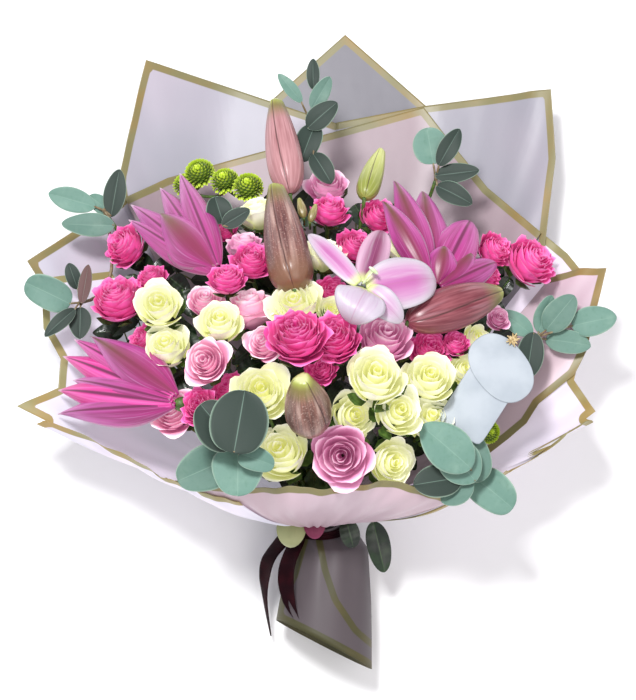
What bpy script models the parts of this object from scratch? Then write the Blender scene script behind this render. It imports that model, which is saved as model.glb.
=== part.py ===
"""A gift bouquet of lilies, roses, button chrysanthemums and eucalyptus, lying on its back.

The flowers face up, the wrapped foot points along -Y and the back sheets of film lie on the table.
Sizes in this file are millimetres, and MM turns them to metres when a mesh is made.
"""

from math import ceil, cos, hypot, pi, radians, sin, sqrt

import bmesh
import bpy
import numpy as np
from mathutils import Vector

MM = 0.001
UP = Vector((0.0, 0.0, 1.0))

# Places on the plan are millimetres right and up on the face of the bouquet,
# as it shows from SIGHT_DISTANCE above its middle, SIGHT_TILT off plumb.
SIGHT_DISTANCE = 2400.0
SIGHT_TILT = radians(10.0)
SIGHT_CENTRE = Vector((0.0, -33.0, 150.0))

# The mound of flowers: heights above the table
MOUND_RIM_HEIGHT = 112.0
MOUND_BACK_HEIGHT = 66.0
MOUND_RISE = 130.0
MOUND_MIDDLE = (-5.0, -10.0)
MOUND_HALF_WIDTH = 232.0
MOUND_HALF_LENGTH = 218.0

# The neck, where the tie gathers film and stems
NECK = Vector((0.0, -180.0, 60.0))
NECK_LEAN = radians(50.0)
NECK_RADIUS = 36.0
NECK_AXIS = Vector((0.0, cos(NECK_LEAN), sin(NECK_LEAN)))

# Florist's film
FILM = 1.2
FILM_PITCH = 2.1
FILM_BELLY = 34.0
FILM_BACK_BELLY = 56.0
FILM_LANDING = 6.0

# After a union: points this near (in metres) are one, and faces this near to one plane are flat
WELD = 0.000004
FLAT_ANGLE = radians(1.2)

# Blooms, petals, leaves and stems
GAP = 0.3
BLOOM_SCALE = 1.09
BLOOM_GAP = 1.0
KIN_OVERLAP = 0.8
STEM_RADIUS = 2.0
STEM_CLEARANCE = 3.4
TWIG_RADIUS = 3.6
TWIG_SAG = 0.36
LEAF_TILT = radians(8.0)
STALK_RADIUS = 1.1
LEAF_FOLD = 0.14
LEAF_THICK = 1.0
PETAL_THICK = 1.6
PETAL_CHANNEL = 0.16
STALK_SPACING = 1.9
JOINT_RADIUS = 2.6
STEM_END_GAP = 0.9

# How far a stem keeps straight behind its bloom, lily, bud or sprig
BLOOM_STRAIGHT = 26.0
LILY_STRAIGHT = 30.0
BUD_STRAIGHT = 20.0
SPRIG_STRAIGHT = 18.0

# How readily bodies give way as they settle, and the size of the balls that stand for a leaf
EASY = 1.0
HEAVY = 0.05
JOINT_EASE = 0.3
LEAF_BALL = 3.0

LILY_HEART = 11.0
ROSE_BASE = 0.80
MUM_BASE = 0.70

COLOURS = {
    "white_rose": ((0.86, 0.88, 0.55), 0.6),
    "mauve_rose": ((0.62, 0.27, 0.45), 0.6),
    "pink_rose": ((0.80, 0.06, 0.30), 0.6),
    "lily": ((0.50, 0.10, 0.35), 0.5),
    "open_lily": ((0.82, 0.62, 0.80), 0.5),
    "bud": ((0.36, 0.13, 0.16), 0.5),
    "green_bud": ((0.42, 0.50, 0.08), 0.5),
    "button_mum": ((0.36, 0.56, 0.03), 0.7),
    "eucalyptus": ((0.16, 0.36, 0.30), 0.6),
    "stem": ((0.12, 0.22, 0.05), 0.6),
    "film": ((0.70, 0.68, 0.76), 0.4),
    "pink_film": ((0.80, 0.60, 0.68), 0.4),
    "ribbon": ((0.05, 0.005, 0.012), 0.4),
    "card": ((0.86, 0.90, 0.93), 0.6),
}


# Plan and mound


def spot(right, up, height):
    """The point at this height that shows at (right, up) on the plan."""
    lean, plumb = sin(SIGHT_TILT), cos(SIGHT_TILT)
    rise = height - SIGHT_CENTRE.z
    far = SIGHT_DISTANCE - rise * plumb
    back = (up * far - SIGHT_DISTANCE * rise * lean) / (SIGHT_DISTANCE * plumb - up * lean)
    scale = (far + back * lean) / SIGHT_DISTANCE
    return Vector((SIGHT_CENTRE.x + right * scale, SIGHT_CENTRE.y + back, height))


def seen(point):
    """Where a point shows on the plan: the inverse of spot."""
    lean, plumb = sin(SIGHT_TILT), cos(SIGHT_TILT)
    offset = point - SIGHT_CENTRE
    scale = (SIGHT_DISTANCE + offset.y * lean - offset.z * plumb) / SIGHT_DISTANCE
    return offset.x / scale, (offset.y * plumb + offset.z * lean) / scale


def smooth(value):
    value = min(max(value, 0.0), 1.0)
    return value * value * (3.0 - 2.0 * value)


def mound(right, up):
    """Height of the mound of flowers at a place on the plan."""
    across = (right - MOUND_MIDDLE[0]) / MOUND_HALF_WIDTH
    along = (up - MOUND_MIDDLE[1]) / MOUND_HALF_LENGTH
    back = smooth((up - 40.0) / 160.0)
    foot = MOUND_RIM_HEIGHT + (MOUND_BACK_HEIGHT - MOUND_RIM_HEIGHT) * back
    return foot + MOUND_RISE * max(0.0, 1.0 - across * across - along * along)


# Blooms: group, kind, right, up, radius, lift above the mound
ROSES = [
    ("roses_white_left", "white_rose", -154, 43, 24, 4),
    ("roses_white_left", "white_rose", -150, 4, 23, -4),
    ("rose_white_left_middle", "white_rose", -96, 24, 22, 6),
    ("roses_white_centre", "white_rose", -19, 44, 25, -12),
    ("roses_white_centre", "white_rose", 14, 38, 14, -24),
    ("rose_white_back_left", "white_rose", -58, 136, 20, -8),
    ("roses_white_front_left", "white_rose", -54, -42, 28, 6),
    ("roses_white_front_left", "white_rose", -31, -100, 27, 2),
    ("roses_white_front_right", "white_rose", 52, -25, 28, 4),
    ("roses_white_front_right", "white_rose", 36, -62, 24, -10),
    ("roses_white_front_right", "white_rose", 81, -62, 24, 8),
    ("roses_white_front_right", "white_rose", 74, -110, 23, 0),
    ("roses_white_right", "white_rose", 116, -70, 23, 2),
    ("roses_white_right", "white_rose", 110, -28, 26, -4),
    ("roses_white_right", "white_rose", 147, -20, 16, -14),
    ("roses_white_right", "white_rose", 159, 12, 14, -10),
    ("rose_white_behind_bud", "white_rose", 8, 93, 20, -20),
    ("rose_white_behind_lily", "white_rose", 86, 100, 17, -24),
    ("rose_mauve_right", "mauve_rose", 76, 10, 27, 10),
    ("rose_mauve_front", "mauve_rose", 24, -108, 32, 13),
    ("roses_mauve_centre", "mauve_rose", -51, 8, 18, -4),
    ("roses_mauve_centre", "mauve_rose", -66, 46, 24, -8),
    ("rose_mauve_left", "mauve_rose", -108, -15, 21, 8),
    ("rose_mauve_left_front", "mauve_rose", -144, -60, 23, 2),
    ("rose_mauve_left_back", "mauve_rose", -112, 47, 17, -22),
    ("rose_mauve_back_left", "mauve_rose", -71, 106, 18, 6),
    ("rose_mauve_back", "mauve_rose", 12, 163, 20, -10),
    ("rose_mauve_far_right", "mauve_rose", 182, 30, 11, -8),
    ("spray_pink_back_left", "pink_rose", -191, 105, 21, 0),
    ("spray_pink_left", "pink_rose", -198, 50, 25, 4),
    ("spray_pink_left", "pink_rose", -164, 72, 14, -20),
    ("spray_pink_left", "pink_rose", -173, 13, 15, -14),
    ("spray_pink_upper_left", "pink_rose", -64, 85, 19, -4),
    ("spray_pink_upper_left", "pink_rose", -88, 65, 17, 8),
    ("spray_pink_upper_left", "pink_rose", -90, 120, 11, -6),
    ("spray_pink_centre", "pink_rose", -18, 10, 27, 14),
    ("spray_pink_centre", "pink_rose", 24, 5, 23, 6),
    ("spray_pink_centre", "pink_rose", 6, -16, 16, 2),
    ("rose_pink_back", "pink_rose", 13, 139, 18, 12),
    ("roses_pink_behind_lily", "pink_rose", 62, 137, 18, 0),
    ("roses_pink_behind_lily", "pink_rose", 38, 106, 18, -10),
    ("rose_pink_by_bud", "pink_rose", 14, 60, 15, -22),
    ("spray_pink_right", "pink_rose", 116, 5, 19, 0),
    ("spray_pink_right", "pink_rose", 139, 4, 13, -12),
    ("spray_pink_front_left", "pink_rose", -116, -60, 17, 6),
    ("spray_pink_front_left", "pink_rose", -87, -36, 17, -4),
    ("spray_pink_far_right", "pink_rose", 214, 88, 25, 6),
    ("spray_pink_far_right", "pink_rose", 178, 100, 18, 0),
    ("spray_pink_far_right", "pink_rose", 174, 74, 11, -6),
]

MUMS = [
    ("button_mums_back", "button_mum", -116, 175, 16, 4),
    ("button_mums_back", "button_mum", -131, 166, 13, -6),
    ("button_mums_back", "button_mum", -91, 168, 15, -4),
    ("button_mums_back", "button_mum", -68, 162, 16, 2),
    ("button_mums_right", "button_mum", 146, -47, 17, -14),
    ("button_mums_right", "button_mum", 172, -82, 12, -14),
]

# Lily petals: tip right, tip up, tip lift, base right, base up, width, bow
LILIES = {
    "lily_back_left": ("lily", (-98, 80, 22), [
        (-138, 182, 34, -98, 88, 23, 12),
        (-159, 168, 22, -104, 88, 27, 8),
        (-189, 150, 16, -108, 84, 25, 6),
        (-191, 134, 20, -108, 76, 23, 6),
        (-162, 144, 44, -100, 82, 34, 16),
    ]),
    "lily_left": ("lily", (-140, -50, 26), [
        (-231, 19, 22, -136, -38, 32, 14),
        (-246, 14, 12, -146, -38, 22, 4),
        (-258, -3, 6, -148, -44, 29, 2),
        (-248, -28, 16, -148, -50, 23, 12),
        (-264, -38, 10, -146, -54, 31, 10),
        (-264, -63, 12, -142, -60, 27, 12),
    ]),
    "lily_back_right": ("lily", (118, 62, -6), [
        (72, 182, 30, 112, 76, 23, 30),
        (59, 160, 34, 106, 72, 22, 34),
        (103, 175, 26, 116, 78, 27, 14),
        (158, 141, 36, 124, 76, 31, 26),
        (161, 104, 24, 126, 70, 29, 16),
        (188, 92, 20, 126, 64, 23, 18),
        (128, 113, 34, 120, 70, 24, 12),
    ]),
    "lily_open": ("open_lily", (43, 62, 30), [
        (-11, 118, 44, 40, 68, 28, 10),
        (66, 121, 40, 46, 68, 32, 8),
        (124, 76, 44, 50, 62, 46, 12),
        (34, 23, 40, 40, 58, 52, 14),
        (82, 28, 36, 48, 58, 32, 8),
    ]),
}

# Buds: colour, tip right, tip up, tip lift, base right, base up, base lift, radius
BUDS = {
    "bud_back": ("bud", -41, 253, 66, -26, 158, 52, 20),
    "bud_middle": ("bud", -38, 165, 62, -18, 60, 42, 23),
    "bud_front": ("bud", -14, -28, 50, -4, -82, 4, 23),
    "bud_right": ("bud", 186, 60, 44, 92, 30, 34, 23),
    "bud_green": ("green_bud", 67, 200, 40, 50, 152, 26, 14),
}

# Eucalyptus: the joint of the twigs, then leaves: right, up, half length, half width, turn, lift
SPRIGS = {
    "eucalyptus_left": [
        ((-212, 140, 20), [
            (-244, 150, 25, 11, 165, 24),
            (-201, 157, 25, 10, 80, 28),
            (-228, 125, 27, 11, 180, 20),
            (-216, 146, 14, 8, 140, 16),
        ]),
        ((-236, 48, 0), [
            (-268, 57, 25, 17, 155, 12),
            (-243, 74, 14, 7, 110, 2),
            (-231, 66, 20, 6, 80, 18),
            (-256, 28, 21, 7, 225, 16),
            (-236, 27, 17, 10, 270, 4),
        ]),
    ],
    "eucalyptus_front_left": [
        ((-81, -99, 23), [
            (-76, -74, 30, 28, 80, 28),
            (-97, -79, 26, 22, 130, 20),
            (-111, -119, 29, 22, 205, 20),
            (-78, -121, 24, 25, 270, 30),
            (-60, -109, 18, 12, 340, 36),
        ]),
    ],
    "eucalyptus_front_right": [
        ((158, -126, 30), [
            (130, -99, 32, 19, 140, 20),
            (141, -110, 28, 18, 130, 28),
            (157, -108, 24, 18, 95, 36),
            (176, -141, 26, 20, 320, 54),
            (122, -131, 24, 15, 190, 34),
            (141, -141, 19, 12, 220, 46),
        ]),
    ],
    "eucalyptus_right": [
        ((222, 14, 14), [
            (201, 28, 20, 9, 145, 6),
            (229, 36, 20, 9, 70, 10),
            (244, 37, 23, 13, 50, 16),
            (278, 29, 23, 14, 10, 14),
            (252, 8, 23, 11, 350, 8),
            (214, -6, 25, 12, 260, 12),
        ]),
    ],
    "eucalyptus_back_right": [
        ((120, 172, 24), [
            (114, 204, 19, 18, 100, 36),
            (133, 203, 22, 9, 60, 44),
            (141, 177, 23, 9, 5, 34),
            (138, 156, 21, 10, 330, 28),
        ]),
    ],
    "eucalyptus_back": [
        ((-2, 222, 34), [
            (-3, 276, 16, 6, 90, 52),
            (-26, 262, 19, 6, 130, 50),
            (5, 257, 19, 8, 60, 54),
            (6, 235, 20, 11, 40, 62),
            (-8, 208, 22, 12, 250, 58),
            (6, 182, 19, 10, 300, 34),
        ]),
    ],
    "eucalyptus_behind_lily": [
        ((-86, 122, 6), [
            (-97, 140, 14, 13, 108, 30),
            (-80, 132, 16, 8, 30, 18),
        ]),
    ],
}


# Meshes


def make_solid(name, points, faces):
    """An object from points in millimetres, with its faces turned outward."""
    mesh = bpy.data.meshes.new(name)
    mesh.from_pydata([point * MM for point in points], [], faces)
    bm = bmesh.new()
    bm.from_mesh(mesh)
    bmesh.ops.recalc_face_normals(bm, faces=bm.faces)
    bmesh.ops.triangulate(bm, faces=bm.faces)
    bm.to_mesh(mesh)
    bm.free()
    solid = bpy.data.objects.new(name, mesh)
    bpy.context.scene.collection.objects.link(solid)
    return solid


def fuse(name, solids):
    """One object from overlapping solids, by one Boolean union on their collection."""
    body = solids[0]
    body.name = name
    if len(solids) > 1:
        others = bpy.data.collections.new(name + "_parts")
        for other in solids[1:]:
            bpy.context.scene.collection.objects.unlink(other)
            others.objects.link(other)
        union = body.modifiers.new("Union", "BOOLEAN")
        union.operation = "UNION"
        union.operand_type = "COLLECTION"
        union.collection = others
        union.solver = "EXACT"
        bpy.context.view_layer.update()
        graph = bpy.context.evaluated_depsgraph_get()
        joined = bpy.data.meshes.new_from_object(body.evaluated_get(graph))
        body.modifiers.clear()
        body.data = joined
        for other in list(others.objects):
            bpy.data.objects.remove(other)
        bpy.data.collections.remove(others)
    keep_largest_body(body)
    return body


def keep_largest_body(solid):
    """Drop loose scraps that a union leaves, and weld points that lie on each other."""
    bm = bmesh.new()
    bm.from_mesh(solid.data)
    bmesh.ops.remove_doubles(bm, verts=bm.verts, dist=WELD)
    bmesh.ops.dissolve_degenerate(bm, edges=bm.edges, dist=WELD)
    left = set(bm.faces)
    bodies = []
    while left:
        front = [left.pop()]
        found = list(front)
        while front:
            for edge in front.pop().edges:
                for other in edge.link_faces:
                    if other in left and len(edge.link_faces) == 2:
                        left.remove(other)
                        found.append(other)
                        front.append(other)
        bodies.append(found)
    bodies.sort(key=len, reverse=True)
    for scrap in bodies[1:]:
        bmesh.ops.delete(bm, geom=scrap, context="FACES")
    bmesh.ops.delete(bm, geom=[vert for vert in bm.verts if not vert.link_faces], context="VERTS")
    bmesh.ops.dissolve_limit(bm, angle_limit=FLAT_ANGLE, verts=bm.verts, edges=bm.edges)
    bmesh.ops.triangulate(bm, faces=bm.faces)
    bm.to_mesh(solid.data)
    bm.free()


def paint(solid, colour):
    """Give an object a material of its own."""
    shade, roughness = COLOURS[colour]
    material = bpy.data.materials.new(solid.name)
    material.use_nodes = True
    surface = material.node_tree.nodes["Principled BSDF"]
    surface.inputs["Base Color"].default_value = (*shade, 1.0)
    surface.inputs["Roughness"].default_value = roughness
    surface.inputs["Metallic"].default_value = 0.0
    solid.data.materials.clear()
    solid.data.materials.append(material)


def frame_along(direction, hint=Vector((0.0, 0.0, 1.0))):
    """Two unit vectors square to a direction, the first as near to the hint as it can be."""
    direction = direction.normalized()
    first = hint - direction * hint.dot(direction)
    if first.length < 1e-3:
        first = Vector((1.0, 0.0, 0.0)) - direction * direction.x
    first.normalize()
    return first, direction.cross(first)


def ringed_solid(name, rings, low, high):
    """A closed solid from rings of equally many points, closed by a pole at each end."""
    around = len(rings[0])
    points = [low] + [point for ring in rings for point in ring] + [high]
    faces = []
    for step in range(around):
        after = (step + 1) % around
        faces.append((0, 1 + after, 1 + step))
        for row in range(len(rings) - 1):
            start = 1 + row * around
            faces.append((start + step, start + after, start + around + after, start + around + step))
        last = 1 + (len(rings) - 1) * around
        faces.append((last + step, last + after, len(points) - 1))
    return make_solid(name, points, faces)


def tube(name, path, radii, sides=4):
    """A tapered tube through the points of a path."""
    rings = []
    first = Vector((0.31, 0.17, 0.94))
    for index, point in enumerate(path):
        ahead = path[min(index + 1, len(path) - 1)]
        behind = path[max(index - 1, 0)]
        first, second = frame_along(ahead - behind, first)
        ring = []
        for side in range(sides):
            angle = 2.0 * pi * side / sides
            ring.append(point + (first * cos(angle) + second * sin(angle)) * radii[index])
        rings.append(ring)
    return ringed_solid(name, rings, path[0], path[-1])


# Roses and chrysanthemums


def facing(place, outward=0.45):
    """The way a bloom looks: partly up, partly away from the neck."""
    away = (place - NECK).normalized()
    return (away * outward + Vector((0.0, 0.0, 1.0)) * (1.0 - outward)).normalized()


def rose_solid(name, centre, look, radius, turn):
    """A rose as relief: crests are petal edges in layers, valleys the gaps between them."""
    lobes = 5
    around = 2 * lobes
    layers = 3 if radius > 23 else 2
    crests = [(0.93 * (k + 0.45) / (layers - 0.55)) for k in range(layers)]
    first, second = frame_along(look, Vector((0.0, 1.0, 0.2)))

    def ring(size, height, wave, phase):
        out = []
        for step in range(around):
            angle = 2.0 * pi * step / around + turn
            lobe = cos(lobes * angle - lobes * turn + phase)
            reach = radius * size * (1.0 + wave * lobe)
            rise = radius * (height - 0.5 * wave * lobe)
            out.append(centre + (first * cos(angle) + second * sin(angle)) * reach + look * rise)
        return out

    rings = [ring(0.30, -0.72, 0.0, 0.0), ring(0.78, -0.28, 0.05, 0.0)]
    for k in reversed(range(layers)):
        phase = pi * (k % 2)
        height = 0.58 - 0.44 * crests[k] ** 2
        wave = 0.03 if k == layers - 1 else 0.09
        rings.append(ring(crests[k], height, wave, phase))
        if k > 0:
            rings.append(ring(crests[k] - 0.13, height - 0.20, 0.05, phase))
    low = centre - look * ROSE_BASE * radius
    high = centre + look * 0.60 * radius
    return ringed_solid(name, rings, low, high)


def mum_solid(name, centre, look, radius, turn):
    """A button chrysanthemum: a flattened ball of short rays in staggered rings."""
    around = 10
    first, second = frame_along(look, Vector((0.0, 1.0, 0.2)))
    rings = []
    levels = [(-0.60, 0.35, 0.0), (-0.15, 0.84, 0.0), (0.08, 0.94, 0.06), (0.36, 0.74, 0.09), (0.56, 0.42, 0.10)]
    for level, (height, size, wave) in enumerate(levels):
        ring = []
        for step in range(around):
            angle = 2.0 * pi * (step + 0.5 * (level % 2)) / around + turn
            ray = 1.0 + wave * (1 if step % 2 else -1)
            side = first * cos(angle) + second * sin(angle)
            ring.append(centre + side * radius * size * ray + look * radius * height * ray)
        rings.append(ring)
    return ringed_solid(name, rings, centre - look * MUM_BASE * radius, centre + look * 0.58 * radius)


# Lilies, buds and leaves


def bezier(start, middle, end, share):
    rest = 1.0 - share
    return start * rest * rest + middle * 2.0 * share * rest + end * share * share


def petal_fullness(share):
    """Width of a petal along its length, as a share of its widest."""
    return (0.12 + 0.88 * sin(pi * share ** 0.85)) * (1.0 - 0.3 * share ** 6)


def petal_solid(name, base, tip, width, bow):
    """A lily petal: a lance-shaped blade, hollowed along its rib and bowed up."""
    stations = 5
    along = tip - base
    up, side = frame_along(along)
    middle = base + along * 0.5 + up * bow
    rings = []
    for station in range(stations):
        share = 0.04 + 0.92 * station / (stations - 1)
        centre = bezier(base, middle, tip, share)
        ahead = bezier(base, middle, tip, share + 0.02) - bezier(base, middle, tip, share - 0.02)
        normal, across = frame_along(ahead, up)
        half = 0.5 * width * petal_fullness(share)
        dip = PETAL_CHANNEL * half
        left = centre + across * half
        right = centre - across * half
        upper = centre - normal * (dip - 0.5 * PETAL_THICK)
        lower = centre - normal * (dip + 0.5 * PETAL_THICK)
        rings.append([left, upper, right, lower])
    return ringed_solid(name, rings, base, tip)


def bud_solid(name, base, tip, radius):
    """A closed lily bud: a spindle of three broad petals with grooves between them."""
    sides = 6
    levels = 7
    first, second = frame_along(tip - base)
    rings = []
    for level in range(levels):
        share = 0.03 + 0.94 * level / (levels - 1)
        fullness = sin(pi * share ** 0.80) ** 0.62
        size = radius * max(fullness, 0.26) * (1.0 - 0.16 * share)
        ring = []
        for side in range(sides):
            angle = 2.0 * pi * side / sides
            ridge = 1.0 if side % 2 else 0.90
            ring.append(base.lerp(tip, share) + (first * cos(angle) + second * sin(angle)) * size * ridge)
        rings.append(ring)
    return ringed_solid(name, rings, base, tip)


def leaf_solid(name, centre, half_length, half_width, leaf_way, hub):
    """A eucalyptus leaf: an oval blade folded a little along its rib, on a stalk that runs to the hub."""
    along, rise, side = leaf_way
    rib = (-1.0, 1.0)
    half = ((-0.62, 0.72), (0.02, 1.0), (0.68, 0.70))
    outline = [(rib[0], 0.0)] + list(half) + [(rib[1], 0.0)] + [(x, -y) for x, y in reversed(half)]
    points = []
    for level in (-0.5, 0.5):
        for x, y in outline:
            fold = LEAF_FOLD * half_width * abs(y)
            place = centre + along * half_length * x + side * half_width * y
            points.append(place + rise * (fold + LEAF_THICK * level))
    around = len(outline)
    faces = []
    for start, turned in ((0, True), (around, False)):
        for loop in ((0, 1, 2), (0, 2, 3), (0, 3, 4), (0, 4, 5), (0, 5, 6), (0, 6, 7)):
            loop = tuple(start + corner for corner in loop)
            faces.append(tuple(reversed(loop)) if turned else loop)
    for step in range(around):
        after = (step + 1) % around
        faces.append((step, around + step, around + after))
        faces.append((step, around + after, after))
    root = centre - along * half_length * 0.8 + rise * 0.1
    return [make_solid(name, points, faces), tube(name, [root, hub], (STALK_RADIUS,) * 2, 3)]


# Settling: bodies are lists of balls, moved until no two bodies meet


def settle(bodies, rounds=240):
    """Push bodies apart, mostly in depth, so that each keeps its place on the plan."""
    owner = np.array([index for index, body in enumerate(bodies) for ball in body["balls"]])
    offset = np.array([tuple(ball) for body in bodies for ball, size in body["balls"]])
    size = np.array([size for body in bodies for ball, size in body["balls"]])
    group = np.array([body["group"] for body in bodies])[owner]
    ease = np.array([body["ease"] for body in bodies])
    lateral = np.array([body["lateral"] for body in bodies])
    place = np.array([tuple(body["place"]) for body in bodies])
    home = place.copy()
    kin = group[:, None] == group[None, :]
    need = (size[:, None] + size[None, :]) * np.where(kin, KIN_OVERLAP, 1.0) + np.where(kin, 0.0, BLOOM_GAP)
    pairs = np.triu(owner[:, None] != owner[None, :], 1)
    for turn in range(rounds):
        balls = place[owner] + offset
        apart = balls[None, :, :] - balls[:, None, :]
        distance = np.linalg.norm(apart, axis=2)
        first, second = np.nonzero(pairs & (distance < need))
        if len(first) == 0:
            break
        way = apart[first, second] / distance[first, second][:, None]
        lack = need[first, second] - distance[first, second]
        a, b = owner[first], owner[second]
        slide = np.maximum(lateral[a], lateral[b])
        push = way * np.stack([slide, slide, np.ones_like(slide)], axis=1)
        flat = np.abs(push[:, 2]) < 0.05
        push[flat, 2] = 0.05
        push *= (lack / np.maximum(np.sum(push * way, axis=1), 0.08))[:, None]
        push *= np.minimum(1.0, 5.0 / np.linalg.norm(push, axis=1))[:, None]
        share = (ease[a] / (ease[a] + ease[b]))[:, None]
        move = np.zeros_like(place)
        hits = np.zeros(len(bodies))
        np.add.at(move, a, -push * share)
        np.add.at(move, b, push * (1.0 - share))
        np.add.at(hits, a, 1.0)
        np.add.at(hits, b, 1.0)
        place += 1.3 * move / np.maximum(hits, 1.0)[:, None]
        place[:, :2] += 0.02 * (home[:, :2] - place[:, :2])
        still = lateral == 0.0
        place[still, :2] = home[still, :2]
    for body, spot_now in zip(bodies, place):
        body["place"] = Vector(spot_now)


def body_of(group, place, balls, ease, lateral=0.25):
    return {"group": group, "place": place, "balls": balls, "ease": ease, "lateral": lateral}


def petal_ends(heart, petal):
    """Both ends of a lily petal, before settling."""
    tip_right, tip_up, tip_lift, right, up = petal[:5]
    height = mound(heart[0], heart[1]) + heart[2]
    return spot(right, up, height), spot(tip_right, tip_up, mound(tip_right, tip_up) + tip_lift)


def lily_balls(heart, petals, origin):
    """Balls along both sides of every petal of a lily, as offsets from its heart."""
    look = facing(origin, 0.75)
    balls = [(Vector(), LILY_HEART), (look * -12.0, 0.9 * LILY_HEART), (look * -22.0, 6.0)]
    for petal in petals:
        width, bow = petal[5:]
        base, tip = petal_ends(heart, petal)
        rise, side = frame_along(tip - base)
        middle = base.lerp(tip, 0.5) + rise * bow
        steps = ceil((tip - base).length / 12.0)
        for step in range(steps + 1):
            share = 0.04 + 0.92 * step / steps
            half = 0.5 * width * petal_fullness(share)
            centre = bezier(base, middle, tip, share)
            for offset in (-0.6, 0.6):
                balls.append((centre + side * half * offset - origin, max(0.42 * half, 3.0)))
    return balls


def leaf_frame(turn, tilt=LEAF_TILT):
    """The way a leaf points, its upper face and its side."""
    along = Vector((cos(turn) * cos(tilt), sin(turn) * cos(tilt), sin(tilt)))
    rise, side = frame_along(along)
    return along, rise, side


def arrange():
    """Bodies of every bloom, lily, bud, leaf and card, settled clear of each other."""
    bodies = []
    for group, colour, right, up, radius, lift in ROSES + MUMS:
        place = spot(right, up, mound(right, up) + lift)
        bodies.append(body_of(group, place, [(Vector(), radius * BLOOM_SCALE)], EASY))
    for name, (colour, heart, petals) in LILIES.items():
        origin = spot(heart[0], heart[1], mound(heart[0], heart[1]) + heart[2])
        bodies.append(body_of(name, origin, lily_balls(heart, petals, origin), HEAVY))
    for name, row in BUDS.items():
        base, tip, radius = bud_ends(row)
        sizes = [radius * share for share in (0.35, 0.75, 0.98, 1.02, 1.0, 0.9, 0.72, 0.30)]
        balls = [((tip - base) * (index / 7.0), size) for index, size in enumerate(sizes)]
        bodies.append(body_of(name, base, balls, HEAVY))
    for name, twigs in SPRIGS.items():
        for joint, leaves in twigs:
            place = spot(joint[0], joint[1], mound(joint[0], joint[1]) + joint[2])
            bodies.append(body_of(name, place, [(Vector(), LEAF_BALL)], JOINT_EASE, 0.0))
            for right, up, half_length, half_width, turn, lift in leaves:
                along, rise, side = leaf_frame(radians(turn))
                balls = [(Vector(), LEAF_BALL)]
                for share in (-0.75, 0.75):
                    balls.append((along * half_length * share, LEAF_BALL))
                    balls.append((side * half_width * share, LEAF_BALL))
                place = spot(right, up, mound(right, up) + lift)
                bodies.append(body_of(name, place, balls, EASY, 0.0))
    settle(bodies)
    return bodies


def bud_ends(row):
    colour, tip_right, tip_up, tip_lift, right, up, lift, radius = row
    base = spot(right, up, mound(right, up) + lift)
    tip = spot(tip_right, tip_up, mound(tip_right, tip_up) + tip_lift)
    return base, tip, radius


# The wrap: sheets lie on one flared surface, each a film's pitch inside the one before

# Nominal rim: angle round the neck from the back, right, up, height
RIM = [
    (0.0, 10, 300, -12),
    (30.0, 170, 262, 22),
    (55.0, 262, 150, 70),
    (80.0, 285, 30, 112),
    (96.0, 281, -63, 130),
    (108.0, 234, -97, 138),
    (121.0, 189, -127, 152),
    (136.0, 144, -150, 170),
    (155.0, 84, -136, 194),
    (180.0, 0, -141, 206),
    (205.0, -84, -140, 194),
    (222.0, -134, -134, 172),
    (236.0, -170, -118, 152),
    (248.0, -228, -92, 134),
    (260.0, -301, -57, 120),
    (282.0, -286, 60, 98),
    (310.0, -225, 175, 52),
    (335.0, -130, 270, 14),
]


# Places on the flared surface, worked out once: angle, reach, right, up
FLARE_GRID = []


def rim_point(angle):
    """A point of the nominal rim, by a closed smooth curve through RIM."""
    angle = angle % 360.0
    index = max(k for k, row in enumerate(RIM) if row[0] <= angle)
    count = len(RIM)
    here = RIM[index][0]
    after = RIM[(index + 1) % count][0] + (360.0 if index + 1 == count else 0.0)
    share = (angle - here) / (after - here)
    p0, p1, p2, p3 = (spot(*RIM[(index + k) % count][1:]) for k in (-1, 0, 1, 2))
    return 0.5 * (
        2.0 * p1
        + (p2 - p0) * share
        + (2.0 * p0 - 5.0 * p1 + 4.0 * p2 - p3) * share ** 2
        + (3.0 * p1 - p0 - 3.0 * p2 + p3) * share ** 3
    )


def neck_way(angle):
    """Unit vector out from the neck's axis at an angle round it."""
    turn = radians(angle)
    back = Vector((0.0, sin(NECK_LEAN), -cos(NECK_LEAN)))
    return back * cos(turn) + Vector((1.0, 0.0, 0.0)) * sin(turn)


def flare(angle, reach):
    """A point of the flared surface: reach 0 at the neck, 1 at the nominal rim."""
    way = neck_way(angle)
    start = NECK + way * NECK_RADIUS
    end = rim_point(angle)
    belly = FILM_BELLY + FILM_BACK_BELLY * max(0.0, cos(radians(angle))) ** 2
    middle = start.lerp(end, 0.5) + way * belly
    point = bezier(start, middle, end, reach)
    if point.z < FILM_LANDING:
        point.z = max(point.z + FILM_LANDING, 0.0) ** 2 / (4.0 * FILM_LANDING)
    return point


def film_point(angle, reach, inward):
    """A point of the flared surface, moved inward along its normal."""
    around = flare(angle + 0.5, reach) - flare(angle - 0.5, reach)
    along = flare(angle, reach + 0.01) - flare(angle, reach - 0.01)
    normal = around.cross(along).normalized()
    return flare(angle, reach) + normal * inward


def nearest_on_flare(right, up):
    """The nearest of a coarse grid of places on the flared surface."""
    if not FLARE_GRID:
        for angle in range(0, 360, 6):
            for step in range(10):
                reach = 0.35 + 0.09 * step
                FLARE_GRID.append((angle, reach, *seen(flare(angle, reach))))
    best = min(FLARE_GRID, key=lambda row: hypot(row[2] - right, row[3] - up) + 12.0 * abs(row[1] - 0.85))
    return float(best[0]), best[1]


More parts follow.
